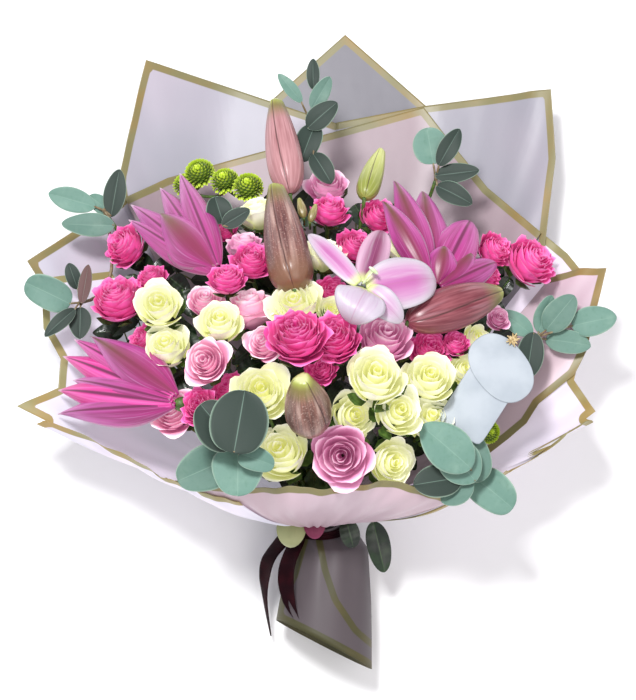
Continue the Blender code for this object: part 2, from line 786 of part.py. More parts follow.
def on_flare(right, up):
    """Angle and reach of the place on the flared surface that shows at (right, up)."""
    angle, reach = nearest_on_flare(right, up)
    for turn in range(20):
        x, y = seen(flare(angle, reach))
        ax, ay = seen(flare(angle + 0.5, reach))
        rx, ry = seen(flare(angle, reach + 0.005))
        ax, ay = (ax - x) / 0.5, (ay - y) / 0.5
        rx, ry = (rx - x) / 0.005, (ry - y) / 0.005
        area = ax * ry - ay * rx
        if abs(area) < 1e-6:
            break
        dx, dy = right - x, up - y
        angle += min(max((dx * ry - dy * rx) / area, -6.0), 6.0)
        reach += min(max((ax * dy - ay * dx) / area, -0.1), 0.1)
        reach = min(max(reach, 0.2), 1.35)
    return angle, reach


# Sheets: colour, layer from the outside, then rim corners as (right, up) on the plan,
# or as ("flare", angle, reach) where the film turns over the front
SHEETS = {
    "film_back_centre": ("film", 0, [(-44, 250), (29, 315), (112, 242)]),
    "film_back_left": ("film", 1, [(-196, 150), (-199, 170), (-171, 290), (-40, 246), (20, 226)]),
    "film_back_right": ("film", 2, [(20, 226), (109, 243), (237, 260), (241, 190), (229, 92)]),
    "film_inner_pink": ("pink_film", 3.5, [(-194, 150), (-151, 170), (14, 215), (108, 241), (174, 160), (228, 115)]),
    "film_right_low": ("film", 1, [
        (231, 113), (252, 96), (267, 78), (269, 20), (258, -30), (281, -63), (234, -97), (189, -127), (144, -150)]),
    "film_right": ("pink_film", 2, [
        (236, 72), (267, 79), (293, 80), (272, 0), (259, -25), (224, -55), (212, -75), (194, -90), (174, -105)]),
    "film_left_top": ("film", -0.3, [(-276, 70), (-288, 90), (-241, 120), (-170, 166)]),
    "film_left_low": ("film", 1, [
        (-206, 78), (-276, 71), (-274, 20), (-256, -10), (-258, -38), (-301, -57),
        (-228, -92), (-170, -118), ("flare", 222.0, 0.90), ("flare", 205.0, 0.84)]),
    "film_front": ("pink_film", 2, [
        ("flare", 244.0, 0.58), ("flare", 236.0, 0.82), ("flare", 222.0, 0.98), ("flare", 205.0, 1.0),
        ("flare", 180.0, 1.0), ("flare", 155.0, 1.0), ("flare", 136.0, 0.98)]),
}

# Every sheet has its grid lines at the same angles and reaches, so that layers bend alike
FILM_REACHES = (0.0, 0.28, 0.52, 0.76, 0.92)
FILM_ANGLE_STEP = 10.0


def rim_between(start, end, angle):
    """Reach of the rim at an angle, on the straight edge that shows between two corners."""
    if "flare" in (start[0], end[0]):
        return None
    near, far = 0.0, 1.0
    low = on_flare(*start)[0]
    sign = 1.0 if wrapped(on_flare(*end)[0], low) > low else -1.0
    reach = 1.0
    for turn in range(12):
        share = 0.5 * (near + far)
        place = [a + (b - a) * share for a, b in zip(start, end)]
        here, reach = on_flare(*place)
        if (wrapped(here, angle) - angle) * sign < 0.0:
            near = share
        else:
            far = share
    return reach


def wrapped(angle, near):
    """The same angle, within half a turn of another."""
    return near + (angle - near + 180.0) % 360.0 - 180.0


def sheet_outline(corners):
    """Angle and rim reach of each column of a sheet, with the common angles between corners."""
    outline = []
    for corner in corners:
        angle, reach = (corner[1], corner[2]) if corner[0] == "flare" else on_flare(*corner)
        if outline:
            angle = wrapped(angle, outline[-1][0])
        outline.append((angle, reach, corner))
    if outline[-1][0] < outline[0][0]:
        outline.reverse()
    columns = []
    for (here, reach, start), (after, beyond, end) in zip(outline, outline[1:]):
        if not columns or here > columns[-1][0] + 0.4:
            columns.append((here, reach))
        line = ceil((here + 1.5) / FILM_ANGLE_STEP) * FILM_ANGLE_STEP
        while line < after - 1.5:
            rim = rim_between(start, end, line)
            if rim is None:
                rim = reach + (beyond - reach) * (line - here) / (after - here)
            columns.append((line, rim))
            line += FILM_ANGLE_STEP
    if outline[-1][0] > columns[-1][0] + 0.4:
        columns.append(outline[-1][:2])
    return columns


def sheet_solid(name, layer, corners):
    """A sheet of film from the neck to its rim, of even thickness."""
    outline = sheet_outline(corners)
    points = []
    for inward in (layer * FILM_PITCH, layer * FILM_PITCH + FILM):
        for angle, rim_reach in outline:
            for row, line in enumerate(FILM_REACHES):
                reach = min(line, rim_reach - 0.03 * (len(FILM_REACHES) - row))
                points.append(film_point(angle, reach, inward))
            points.append(film_point(angle, rim_reach, inward))
    columns, rows = len(outline), len(FILM_REACHES) + 1
    inner = columns * rows
    faces = []

    def quad(a, b, c, d):
        faces.append((a, b, c))
        faces.append((a, c, d))

    for column in range(columns - 1):
        for row in range(rows - 1):
            a = column * rows + row
            b, c, d = a + rows, a + rows + 1, a + 1
            quad(a, b, c, d)
            quad(inner + a, inner + b, inner + c, inner + d)
        near = column * rows
        far = near + rows - 1
        quad(near, near + rows, inner + near + rows, inner + near)
        quad(far, far + rows, inner + far + rows, inner + far)
    for row in range(rows - 1):
        quad(row, row + 1, inner + row + 1, inner + row)
        a = (columns - 1) * rows + row
        quad(a, a + 1, inner + a + 1, inner + a)
    return make_solid(name, points, faces)


# The foot: the gathered film under the tie, open at its cut end

# Sections: centre, half width, half height, lean of the section from upright, slant of its end
FOOT = [
    (NECK - NECK_AXIS * GAP, 36.0, 36.0, 50.0, 0.0),
    (Vector((2.0, -194.0, 50.0)), 33.0, 32.0, 38.0, 0.0),
    (Vector((13.0, -222.0, 44.5)), 42.0, 38.0, 10.0, 0.0),
    (Vector((11.0, -270.0, 43.8)), 46.0, 41.0, 0.0, -0.18),
    (Vector((8.0, -320.0, 43.4)), 49.0, 43.4, 0.0, -0.51),
]
FOOT_INSET = (8.0, 9.0, 2.0, 1.0, 1.0)


def foot_place(section, less, angle):
    """A point of a section of the foot, at an angle from its top towards its right."""
    centre, width, height, lean, slant = section
    tip = radians(lean)
    upright = Vector((0.0, -sin(tip), cos(tip)))
    across = (width - less) * sin(angle)
    point = centre + Vector((across, 0.0, 0.0)) + upright * (height - less) * cos(angle)
    point.y += slant * across
    return point


def foot_ring(section, less, around=16):
    """One ring of the foot, from its top round by its right."""
    return [foot_place(section, less, 2.0 * pi * step / around) for step in range(around)]


def sleeve_solid(name, outer, inner):
    """An open sleeve: outer rings down, then inner rings back up."""
    rings = outer + list(reversed(inner))
    around = len(rings[0])
    points = [point for ring in rings for point in ring]
    faces = []
    for row in range(len(rings)):
        start = row * around
        beyond = ((row + 1) % len(rings)) * around
        for step in range(around):
            after = (step + 1) % around
            faces.append((start + step, start + after, beyond + after))
            faces.append((start + step, beyond + after, beyond + step))
    return make_solid(name, points, faces)


def foot_solid(name):
    """The foot: thick where the film is gathered, one film thick at its end."""
    outer = [foot_ring(section, 0.0) for section in FOOT]
    inner = [foot_ring(section, inset) for section, inset in zip(FOOT, FOOT_INSET)]
    return sleeve_solid(name, outer, inner)


# Ribbon: a band round the tie and two tails that lie over the foot's left side

RIBBON = 1.2
RIBBON_BAND = (0.30, 0.75, 1.15)
RIBBON_TAIL = 0.8
RIBBON_MIDDLE = 10.0

# Tails: where one leaves the band, in degrees from its top, then right, up, height, width
RIBBON_TAILS = [
    (-62.0, [(-46, -206, 58, 23), (-51, -227, 46, 19), (-51, -250, 32, 10), (-45, -286, 16, 4)]),
    (-38.0, [(-28, -212, 84, 18), (-30, -232, 82, 18), (-27, -252, 82, 14), (-20, -268, 83, 5)]),
]


def foot_between(position):
    """A foot section part way along FOOT, counted from its first section."""
    index = min(int(position), len(FOOT) - 2)
    share = position - index
    near, far = FOOT[index], FOOT[index + 1]
    values = [a + (b - a) * share for a, b in zip(near[1:], far[1:])]
    return (near[0].lerp(far[0], share), *values)


def strip_solid(name, path, side_way, thick):
    """A flat strip through points (place, width)."""
    rings = []
    for index, (place, width) in enumerate(path):
        ahead = path[min(index + 1, len(path) - 1)][0]
        behind = path[max(index - 1, 0)][0]
        side = side_way[index]
        normal = (ahead - behind).cross(side).normalized()
        half = side * 0.5 * width
        lift = normal * 0.5 * thick
        rings.append([place - half - lift, place + half - lift, place + half + lift, place - half + lift])
    return ringed_solid(name, rings, sum(rings[0], Vector()) / 4.0, sum(rings[-1], Vector()) / 4.0)


def ribbon_solid(name):
    """The ribbon: its band and both tails, fused."""
    sections = [foot_between(position) for position in RIBBON_BAND]
    outer = [foot_ring(section, -(GAP + RIBBON)) for section in sections]
    inner = [foot_ring(section, -GAP) for section in sections]
    solids = [sleeve_solid(name, outer, inner)]
    wall = -(GAP + 0.5 * RIBBON)
    for degrees, tail in RIBBON_TAILS:
        angle = radians(degrees)
        width = tail[0][3]
        path = []
        sides = []
        for section in sections[1:]:
            path.append((foot_place(section, wall, angle), width))
            ahead = foot_place(section, wall, angle + 0.05)
            sides.append((ahead - foot_place(section, wall, angle - 0.05)).normalized())
        for right, up, height, width in tail:
            place = spot(right, up, height)
            path.append((place, width))
            away = Vector((place.x - RIBBON_MIDDLE, 0.0, place.z)).normalized()
            sides.append(Vector((0.0, -1.0, 0.0)).cross(away).normalized())
        for index in range(1, len(sides)):
            if sides[index].dot(sides[index - 1]) < 0.0:
                sides[index] = -sides[index]
        solids.append(strip_solid(name, path, sides, RIBBON_TAIL))
    return fuse(name, solids)


# Cards: a plain rectangular card with a plain oval tag on it

CARD_THICK = 0.8
CARD_HEIGHT = 198.9
CARD = {"right": 165, "up": -47, "half": (42.0, 25.0), "turn": 57.0}
TAG = {"right": 185, "up": -18, "half": (37.0, 26.0), "turn": -52.0}


def card_solid(name, row, height, around):
    """A thin plain card: four corners, or an oval of many sides."""
    centre = spot(row["right"], row["up"], height)
    turn = radians(row["turn"])
    along = Vector((cos(turn), sin(turn), 0.0))
    side = Vector((-sin(turn), cos(turn), 0.0))
    points = []
    for level in (0.0, CARD_THICK):
        for step in range(around):
            angle = 2.0 * pi * (step + 0.5) / around
            stretch = sqrt(2.0) if around == 4 else 1.0
            reach = along * row["half"][0] * cos(angle) + side * row["half"][1] * sin(angle)
            points.append(centre + reach * stretch + Vector((0.0, 0.0, level)))
    faces = [tuple(range(around)), tuple(range(around, 2 * around))]
    for step in range(around):
        after = (step + 1) % around
        faces.append((step, after, around + after, around + step))
    return make_solid(name, points, faces)


# Stems

STEM_CORE = ((-14.0, 17.0), (0.0, 27.1), (24.0, 18.0), (52.0, 6.0))
FOOT_STEMS = 8
FOOT_STEM_END = Vector((8.0, -290.0, 44.0))


def clear_path(start, bend, end, balls, rounds=160):
    """A stem's path, bent clear of blooms and leaves: balls are centres and sizes."""
    centres, sizes = balls
    own = np.linalg.norm(centres - np.array(end), axis=1) < sizes + 1.5
    centres, sizes = centres[~own], sizes[~own]
    path = np.array([start, start.lerp(bend, 0.5), bend, end])
    shares = np.linspace(0.0, 0.9, 10)[:, None]
    for turn in range(rounds):
        moved = False
        for index in (1, 2):
            for other in (index - 1, index + 1):
                samples = path[index] + (path[other] - path[index]) * shares
                away = samples[:, None, :] - centres[None, :, :]
                distance = np.linalg.norm(away, axis=2)
                lack = sizes[None, :] + STEM_CLEARANCE - distance
                where, ball = np.nonzero(lack > 0.0)
                if len(where) == 0:
                    continue
                moved = True
                way = away[where, ball] / distance[where, ball][:, None]
                way[:, 2] -= 0.3
                push = (way * (lack[where, ball] * (1.0 - 0.6 * shares[where, 0]))[:, None]).sum(axis=0)
                path[index] += push * min(0.5, 2.5 / np.linalg.norm(push))
        if not moved:
            break
    return [Vector(point) for point in path]


def stems_solid(name, ends, balls):
    """Every stem, fused where the tie holds them, with cut ends in the foot.

    Ends are place, look, radius and the length that keeps straight; balls are what stems go round.
    """
    balls = (np.array([tuple(centre) for centre, size in balls]), np.array([size for centre, size in balls]))
    path = [NECK + NECK_AXIS * along for along, size in STEM_CORE]
    solids = [tube(name, path, [size for along, size in STEM_CORE], 8)]
    for end, look, size, straight in ends:
        away = end - NECK
        start = NECK + NECK_AXIS * min(34.0, 10.0 + 0.08 * away.length) + away.normalized() * 2.0
        bend = end - look * min(0.30 * away.length, straight)
        solids.append(tube(name, clear_path(start, bend, end, balls), (size, size, size, 0.4 * size), 3))
    for stem in range(FOOT_STEMS):
        angle = 2.0 * pi * stem / FOOT_STEMS
        ring = Vector((cos(angle), 0.0, sin(angle)))
        start = NECK - NECK_AXIS * 6.0 - ring * 6.0
        end = FOOT_STEM_END + ring * 19.0
        end.y += 6.0 * sin(3.0 * angle)
        solids.append(tube(name, [start, end], (3.4, 3.4), 5))
    return fuse(name, solids)


# Groups


def build_blooms(bodies, stem_ends):
    groups = {}
    for body, row in zip(bodies, ROSES + MUMS):
        groups.setdefault(row[0], []).append((body["place"], row[1], row[4] * BLOOM_SCALE))
    count = 0
    balls = []
    for name, members in groups.items():
        solids = []
        roots = []
        members.sort(key=lambda member: (member[0] - NECK).length)
        for place, colour, radius in members:
            count += 1
            look = facing(place)
            build = mum_solid if colour == "button_mum" else rose_solid
            solids.append(build(name, place, look, radius, count * 0.7))
            root = place - look * radius * 0.3
            if roots:
                nearest = min(roots, key=lambda other: (other - root).length)
                low = nearest.lerp(root, 0.5) - look * TWIG_SAG * (nearest - root).length
                solids.append(tube(name, [nearest, low, root], (TWIG_RADIUS,) * 3, 3))
                for share in (0.0, 0.25, 0.5, 0.75, 1.0):
                    balls.append((nearest.lerp(low, share), TWIG_RADIUS))
                    balls.append((low.lerp(root, share), TWIG_RADIUS))
            else:
                below = MUM_BASE if colour == "button_mum" else ROSE_BASE
                stem_ends.append((place - look * (below * radius + GAP), look, STEM_RADIUS, BLOOM_STRAIGHT))
            roots.append(root)
        paint(fuse(name, solids), members[0][1])
    return balls


def build_lilies(bodies, stem_ends):
    for body, (name, (colour, heart, petals)) in zip(bodies, LILIES.items()):
        origin = spot(heart[0], heart[1], mound(heart[0], heart[1]) + heart[2])
        shift = body["place"] - origin
        core = body["place"]
        look = facing(core, 0.75)
        cup = [core - look * 26.0, core - look * 4.0, core + look * 6.0]
        solids = [tube(name, cup, (4.0, LILY_HEART, 0.8 * LILY_HEART), 6)]
        for petal in petals:
            base, tip = petal_ends(heart, petal)
            root = core + (base + shift - core).normalized() * LILY_HEART * 0.6
            solids.append(petal_solid(name, root, tip + shift, petal[5], petal[6]))
        stem_ends.append((core - look * (26.0 + STEM_END_GAP), look, STEM_RADIUS + 1.0, LILY_STRAIGHT))
        paint(fuse(name, solids), colour)


def build_buds(bodies, stem_ends):
    for body, (name, row) in zip(bodies, BUDS.items()):
        base, tip, radius = bud_ends(row)
        shift = body["place"] - base
        paint(bud_solid(name, base + shift, tip + shift, radius), row[0])
        look = (tip - base).normalized()
        stem_ends.append((base + shift - look * STEM_END_GAP, look, STEM_RADIUS + 1.0, BUD_STRAIGHT))


def build_sprigs(bodies, stem_ends):
    queue = list(bodies)
    balls = []
    for name, twigs in SPRIGS.items():
        solids = []
        joints = []
        for joint, leaves in twigs:
            hub = queue.pop(0)["place"]
            joints.append(hub)
            reach = STALK_SPACING * len(leaves)
            solids.append(tube(name, [hub - UP * reach, hub + UP * 1.5], (JOINT_RADIUS,) * 2, 5))
            settled = [queue.pop(0)["place"] for leaf in leaves]
            for index, leaf in enumerate(leaves):
                place = settled[index]
                half_length, half_width, turn = leaf[2:5]
                rank = sum(1 for other in settled if other.z > place.z)
                root = hub - UP * STALK_SPACING * rank
                way = leaf_frame(radians(turn))
                solids.extend(leaf_solid(name, place, half_length, half_width, way, root))
                for share in (-0.8, -0.4, 0.0, 0.4, 0.8):
                    for offset in (-0.5, 0.5):
                        side = way[2] * half_width * offset * (1.0 - share * share)
                        balls.append((place + way[0] * half_length * share + side, 0.35 * half_width))
        for joint in joints[1:]:
            solids.append(tube(name, [joints[0] - UP * 4.0, joint - UP * 4.0], (1.8, 1.8)))
        depth = STALK_SPACING * len(twigs[0][1]) + STEM_END_GAP
        stem_ends.append((joints[0] - UP * depth, facing(joints[0]), STEM_RADIUS, SPRIG_STRAIGHT))
        paint(fuse(name, solids), "eucalyptus")
    return balls


def main():
    for item in list(bpy.data.objects):
        bpy.data.objects.remove(item)
    bodies = arrange()
    blooms = len(ROSES) + len(MUMS)
    lilies = blooms + len(LILIES)
    buds = lilies + len(BUDS)
    stem_ends = []
    balls = [(body["place"] + ball, size) for body in bodies[:buds] for ball, size in body["balls"]]
    balls += build_blooms(bodies[:blooms], stem_ends)
    build_lilies(bodies[blooms:lilies], stem_ends)
    build_buds(bodies[lilies:buds], stem_ends)
    balls += build_sprigs(bodies[buds:], stem_ends)
    paint(stems_solid("stems", stem_ends, balls), "stem")
    for name, (colour, layer, corners) in SHEETS.items():
        paint(sheet_solid(name, layer, corners), colour)
    paint(foot_solid("film_foot"), "film")
    paint(ribbon_solid("ribbon"), "ribbon")
    paint(card_solid("card_rectangular", CARD, CARD_HEIGHT, 4), "card")
    paint(card_solid("card_oval", TAG, CARD_HEIGHT + CARD_THICK + GAP, 18), "card")


main()
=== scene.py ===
"""The looks of a flower bouquet that lies on its back in gold-edged florist's film.

Places are millimetres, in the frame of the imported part, and MM turns them to metres in a mesh.
"""

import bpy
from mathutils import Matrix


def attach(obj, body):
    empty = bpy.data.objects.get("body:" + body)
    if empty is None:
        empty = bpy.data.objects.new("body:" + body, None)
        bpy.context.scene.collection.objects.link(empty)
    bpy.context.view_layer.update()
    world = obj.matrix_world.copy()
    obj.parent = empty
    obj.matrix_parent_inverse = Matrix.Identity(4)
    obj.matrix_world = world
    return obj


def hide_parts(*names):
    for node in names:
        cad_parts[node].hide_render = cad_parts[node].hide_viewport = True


bl_info = {
    "name": "Flower Bouquet",
    "version": (1, 0, 0),
    "blender": (4, 5, 0),
    "location": "View3D > Sidebar > Bouquet",
    "description": "Petals, leaves, film, ribbon and cards of a wrapped bouquet",
    "category": "Add Mesh",
}

from math import ceil, cos, hypot, pi, radians, sin

import bpy
import numpy as np
from bpy.props import FloatProperty, FloatVectorProperty, IntProperty, PointerProperty
from mathutils import Vector

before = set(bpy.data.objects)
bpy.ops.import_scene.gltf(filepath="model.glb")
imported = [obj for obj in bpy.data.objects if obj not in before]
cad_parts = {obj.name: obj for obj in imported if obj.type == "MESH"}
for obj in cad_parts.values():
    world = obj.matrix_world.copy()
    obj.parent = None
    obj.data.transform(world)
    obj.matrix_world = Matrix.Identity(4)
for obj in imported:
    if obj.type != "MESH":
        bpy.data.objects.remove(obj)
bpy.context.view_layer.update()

MM = 0.001
UP = Vector((0.0, 0.0, 1.0))


# Settings


def linear(hex_text):
    """A colour of sRGB hex digits as linear red, green and blue."""
    channels = [int(hex_text[start:start + 2], 16) / 255.0 for start in (0, 2, 4)]
    return tuple(c / 12.92 if c <= 0.04045 else ((c + 0.055) / 1.055) ** 2.4 for c in channels)


def length_setting(name, description, metres):
    """A length of the panel."""
    return FloatProperty(name=name, description=description, default=metres, min=0.0, unit="LENGTH")


def colour_setting(name, description, hex_text):
    """A colour of the panel, from sRGB hex digits."""
    return FloatVectorProperty(
        name=name, description=description, subtype="COLOR", default=linear(hex_text))


class BouquetSizes(bpy.types.PropertyGroup):
    """Sizes that change the look and leave every piece in its place."""

    film_border: length_setting("Film border", "Width of the printed gold border of the film", 0.0078)
    film_wave: length_setting("Film wave", "Height of the film's soft waves towards its rim", 0.0022)
    cream_petals: IntProperty(name="Cream petals", description="Petals of a cream rose", default=16, min=8)
    mauve_petals: IntProperty(name="Mauve petals", description="Petals of a mauve rose", default=20, min=8)
    pink_petals: IntProperty(
        name="Hot pink petals", description="Petals of a hot pink spray rose", default=28, min=8)
    mum_rays: IntProperty(name="Rays", description="Rays of a button chrysanthemum", default=150, min=20)
    leaf_thickness: length_setting("Leaf thickness", "Thickness of a eucalyptus leaf", 0.0006)
    petal_thickness: length_setting("Lily petal thickness", "Thickness of a lily petal", 0.0011)


class BouquetColours(bpy.types.PropertyGroup):
    """Main colours of the flowers, leaves and wrap."""

    cream: colour_setting("Cream rose", "Outer petals of the cream roses", "F4F4DA")
    mauve: colour_setting("Mauve rose", "Petals of the mauve roses", "E2A4C6")
    hot_pink: colour_setting("Hot pink rose", "Petals of the spray roses", "E758A8")
    lily: colour_setting("Lily", "Petals of the closed pink lilies", "B04C94")
    eucalyptus: colour_setting("Eucalyptus", "Leaves of the eucalyptus", "658A7D")
    lilac_film: colour_setting("Lilac film", "The lilac-white sheets of film", "B8B6C2")
    pink_film: colour_setting("Pink film", "The pale pink sheets of film", "DDC2CC")
    gold: colour_setting("Gold border", "The printed border of the film", "7C7650")
    ribbon: colour_setting("Ribbon", "The satin ribbon", "170308")


def sizes():
    return bpy.context.scene.bouquet_sizes


def colours():
    return bpy.context.scene.bouquet_colours


# Sizes and places, shared with the solids

# Places on the plan are millimetres right and up on the face of the bouquet,
# as it shows from SIGHT_DISTANCE above its middle, SIGHT_TILT off plumb
SIGHT_DISTANCE = 2400.0
SIGHT_TILT = radians(10.0)
SIGHT_CENTRE = Vector((0.0, -33.0, 150.0))

# The mound of flowers: heights above the table
MOUND_RIM_HEIGHT = 112.0
MOUND_BACK_HEIGHT = 66.0
MOUND_RISE = 130.0
MOUND_MIDDLE = (-5.0, -10.0)
MOUND_HALF_WIDTH = 232.0
MOUND_HALF_LENGTH = 218.0

# How far up the plan its rim begins to drop to the height at the back, and over what length
MOUND_DROP = (40.0, 160.0)

# The neck, where the tie gathers film and stems
NECK = Vector((0.0, -180.0, 60.0))
NECK_LEAN = radians(50.0)
NECK_RADIUS = 36.0
NECK_AXIS = Vector((0.0, cos(NECK_LEAN), sin(NECK_LEAN)))

# Florist's film: how thick a sheet is, how far apart sheets lie, and how they belly and land
FILM = 1.2
FILM_PITCH = 2.1
FILM_BELLY = 34.0
FILM_BACK_BELLY = 56.0
FILM_LANDING = 6.0

# Blooms and leaves
GAP = 0.3
BLOOM_SCALE = 1.09
BLOOM_GAP = 1.0
KIN_OVERLAP = 0.8
TWIG_SAG = 0.36
LEAF_TILT = radians(8.0)
LEAF_FOLD = 0.14
STALK_SPACING = 1.9
LILY_OUTWARD = 0.75

# How readily bodies give way as they settle, and the balls that stand for leaves and lily hearts
EASY = 1.0
HEAVY = 0.05
JOINT_EASE = 0.3
LEAF_BALL = 3.0
LILY_HEART = 11.0

# Settling: rounds at the most, least rise of a push and least gain along it, longest move of a push
# in millimetres, how much of all pushes a body follows, and how much it is drawn home each round
ROUNDS = 240
LEAST_RISE = 0.05
LEAST_GAIN = 0.08
LONGEST_PUSH = 5.0
FOLLOW = 1.3
HOMING = 0.02


# Plan and mound


def spot(right, up, height):
    """The point at this height that shows at (right, up) on the plan."""
    lean, plumb = sin(SIGHT_TILT), cos(SIGHT_TILT)
    rise = height - SIGHT_CENTRE.z
    far = SIGHT_DISTANCE - rise * plumb
    back = (up * far - SIGHT_DISTANCE * rise * lean) / (SIGHT_DISTANCE * plumb - up * lean)
    scale = (far + back * lean) / SIGHT_DISTANCE
    return Vector((SIGHT_CENTRE.x + right * scale, SIGHT_CENTRE.y + back, height))


def seen(point):
    """Where a point shows on the plan: the inverse of spot."""
    lean, plumb = sin(SIGHT_TILT), cos(SIGHT_TILT)
    offset = point - SIGHT_CENTRE
    scale = (SIGHT_DISTANCE + offset.y * lean - offset.z * plumb) / SIGHT_DISTANCE
    return offset.x / scale, (offset.y * plumb + offset.z * lean) / scale


def smooth(value):
    value = min(max(value, 0.0), 1.0)
    return value * value * (3.0 - 2.0 * value)


def mound(right, up):
    """Height of the mound of flowers at a place on the plan."""
    across = (right - MOUND_MIDDLE[0]) / MOUND_HALF_WIDTH
    along = (up - MOUND_MIDDLE[1]) / MOUND_HALF_LENGTH
    back = smooth((up - MOUND_DROP[0]) / MOUND_DROP[1])
    foot = MOUND_RIM_HEIGHT + (MOUND_BACK_HEIGHT - MOUND_RIM_HEIGHT) * back
    return foot + MOUND_RISE * max(0.0, 1.0 - across * across - along * along)


def on_mound(right, up, lift):
    """The point this far above the mound that shows at (right, up)."""
    return spot(right, up, mound(right, up) + lift)


# Blooms, by kind and piece: right, up, radius, lift above the mound
BLOOMS = {
    "white_rose": {
        "roses_white_left": [(-154, 43, 24, 4), (-150, 4, 23, -4)],
        "rose_white_left_middle": [(-96, 24, 22, 6)],
        "roses_white_centre": [(-19, 44, 25, -12), (14, 38, 14, -24)],
        "rose_white_back_left": [(-58, 136, 20, -8)],
        "roses_white_front_left": [(-54, -42, 28, 6), (-31, -100, 27, 2)],
        "roses_white_front_right": [
            (52, -25, 28, 4), (36, -62, 24, -10), (81, -62, 24, 8), (74, -110, 23, 0)],
        "roses_white_right": [
            (116, -70, 23, 2), (110, -28, 26, -4), (147, -20, 16, -14), (159, 12, 14, -10)],
        "rose_white_behind_bud": [(8, 93, 20, -20)],
        "rose_white_behind_lily": [(86, 100, 17, -24)],
    },
    "mauve_rose": {
        "rose_mauve_right": [(76, 10, 27, 10)],
        "rose_mauve_front": [(24, -108, 32, 13)],
        "roses_mauve_centre": [(-51, 8, 18, -4), (-66, 46, 24, -8)],
        "rose_mauve_left": [(-108, -15, 21, 8)],
        "rose_mauve_left_front": [(-144, -60, 23, 2)],
        "rose_mauve_left_back": [(-112, 47, 17, -22)],
        "rose_mauve_back_left": [(-71, 106, 18, 6)],
        "rose_mauve_back": [(12, 163, 20, -10)],
        "rose_mauve_far_right": [(182, 30, 11, -8)],
    },
    "pink_rose": {
        "spray_pink_back_left": [(-191, 105, 21, 0)],
        "spray_pink_left": [(-198, 50, 25, 4), (-164, 72, 14, -20), (-173, 13, 15, -14)],
        "spray_pink_upper_left": [(-64, 85, 19, -4), (-88, 65, 17, 8), (-90, 120, 11, -6)],
        "spray_pink_centre": [(-18, 10, 27, 14), (24, 5, 23, 6), (6, -16, 16, 2)],
        "rose_pink_back": [(13, 139, 18, 12)],
        "roses_pink_behind_lily": [(62, 137, 18, 0), (38, 106, 18, -10)],
        "rose_pink_by_bud": [(14, 60, 15, -22)],
        "spray_pink_right": [(116, 5, 19, 0), (139, 4, 13, -12)],
        "spray_pink_front_left": [(-116, -60, 17, 6), (-87, -36, 17, -4)],
        "spray_pink_far_right": [(214, 88, 25, 6), (178, 100, 18, 0), (174, 74, 11, -6)],
    },
    "button_mum": {
        "button_mums_back": [
            (-116, 175, 16, 4), (-131, 166, 13, -6), (-91, 168, 15, -4), (-68, 162, 16, 2)],
        "button_mums_right": [(146, -47, 17, -14), (172, -82, 12, -14)],
    },
}
BLOOM_ROWS = [
    (piece, kind, *row)
    for kind, pieces in BLOOMS.items() for piece, rows in pieces.items() for row in rows]

# Lilies: right, up and lift of the heart, then petals: tip right, tip up, tip lift,
# base right, base up, width, bow
LILIES = {
    "lily_back_left": ((-98, 80, 22), [
        (-138, 182, 34, -98, 88, 23, 12),
        (-159, 168, 22, -104, 88, 27, 8),
        (-189, 150, 16, -108, 84, 25, 6),
        (-191, 134, 20, -108, 76, 23, 6),
        (-162, 144, 44, -100, 82, 34, 16),
    ]),
    "lily_left": ((-140, -50, 26), [
        (-231, 19, 22, -136, -38, 32, 14),
        (-246, 14, 12, -146, -38, 22, 4),
        (-258, -3, 6, -148, -44, 29, 2),
        (-248, -28, 16, -148, -50, 23, 12),
        (-264, -38, 10, -146, -54, 31, 10),
        (-264, -63, 12, -142, -60, 27, 12),
    ]),
    "lily_back_right": ((118, 62, -6), [
        (72, 182, 30, 112, 76, 23, 30),
        (59, 160, 34, 106, 72, 22, 34),
        (103, 175, 26, 116, 78, 27, 14),
        (158, 141, 36, 124, 76, 31, 26),
        (161, 104, 24, 126, 70, 29, 16),
        (188, 92, 20, 126, 64, 23, 18),
        (128, 113, 34, 120, 70, 24, 12),
    ]),
    "lily_open": ((43, 62, 30), [
        (-11, 118, 44, 40, 68, 28, 10),
        (66, 121, 40, 46, 68, 32, 8),
        (124, 76, 44, 50, 62, 46, 12),
        (34, 23, 40, 40, 58, 52, 14),
        (82, 28, 36, 48, 58, 32, 8),
    ]),
}

# Buds: right, up and lift of the tip and of the base, and radius
BUDS = {
    "bud_back": ((-41, 253, 66), (-26, 158, 52), 20),
    "bud_middle": ((-38, 165, 62), (-18, 60, 42), 23),
    "bud_front": ((-14, -28, 50), (-4, -82, 4), 23),
    "bud_right": ((186, 60, 44), (92, 30, 34), 23),
    "bud_green": ((67, 200, 40), (50, 152, 26), 14),
}

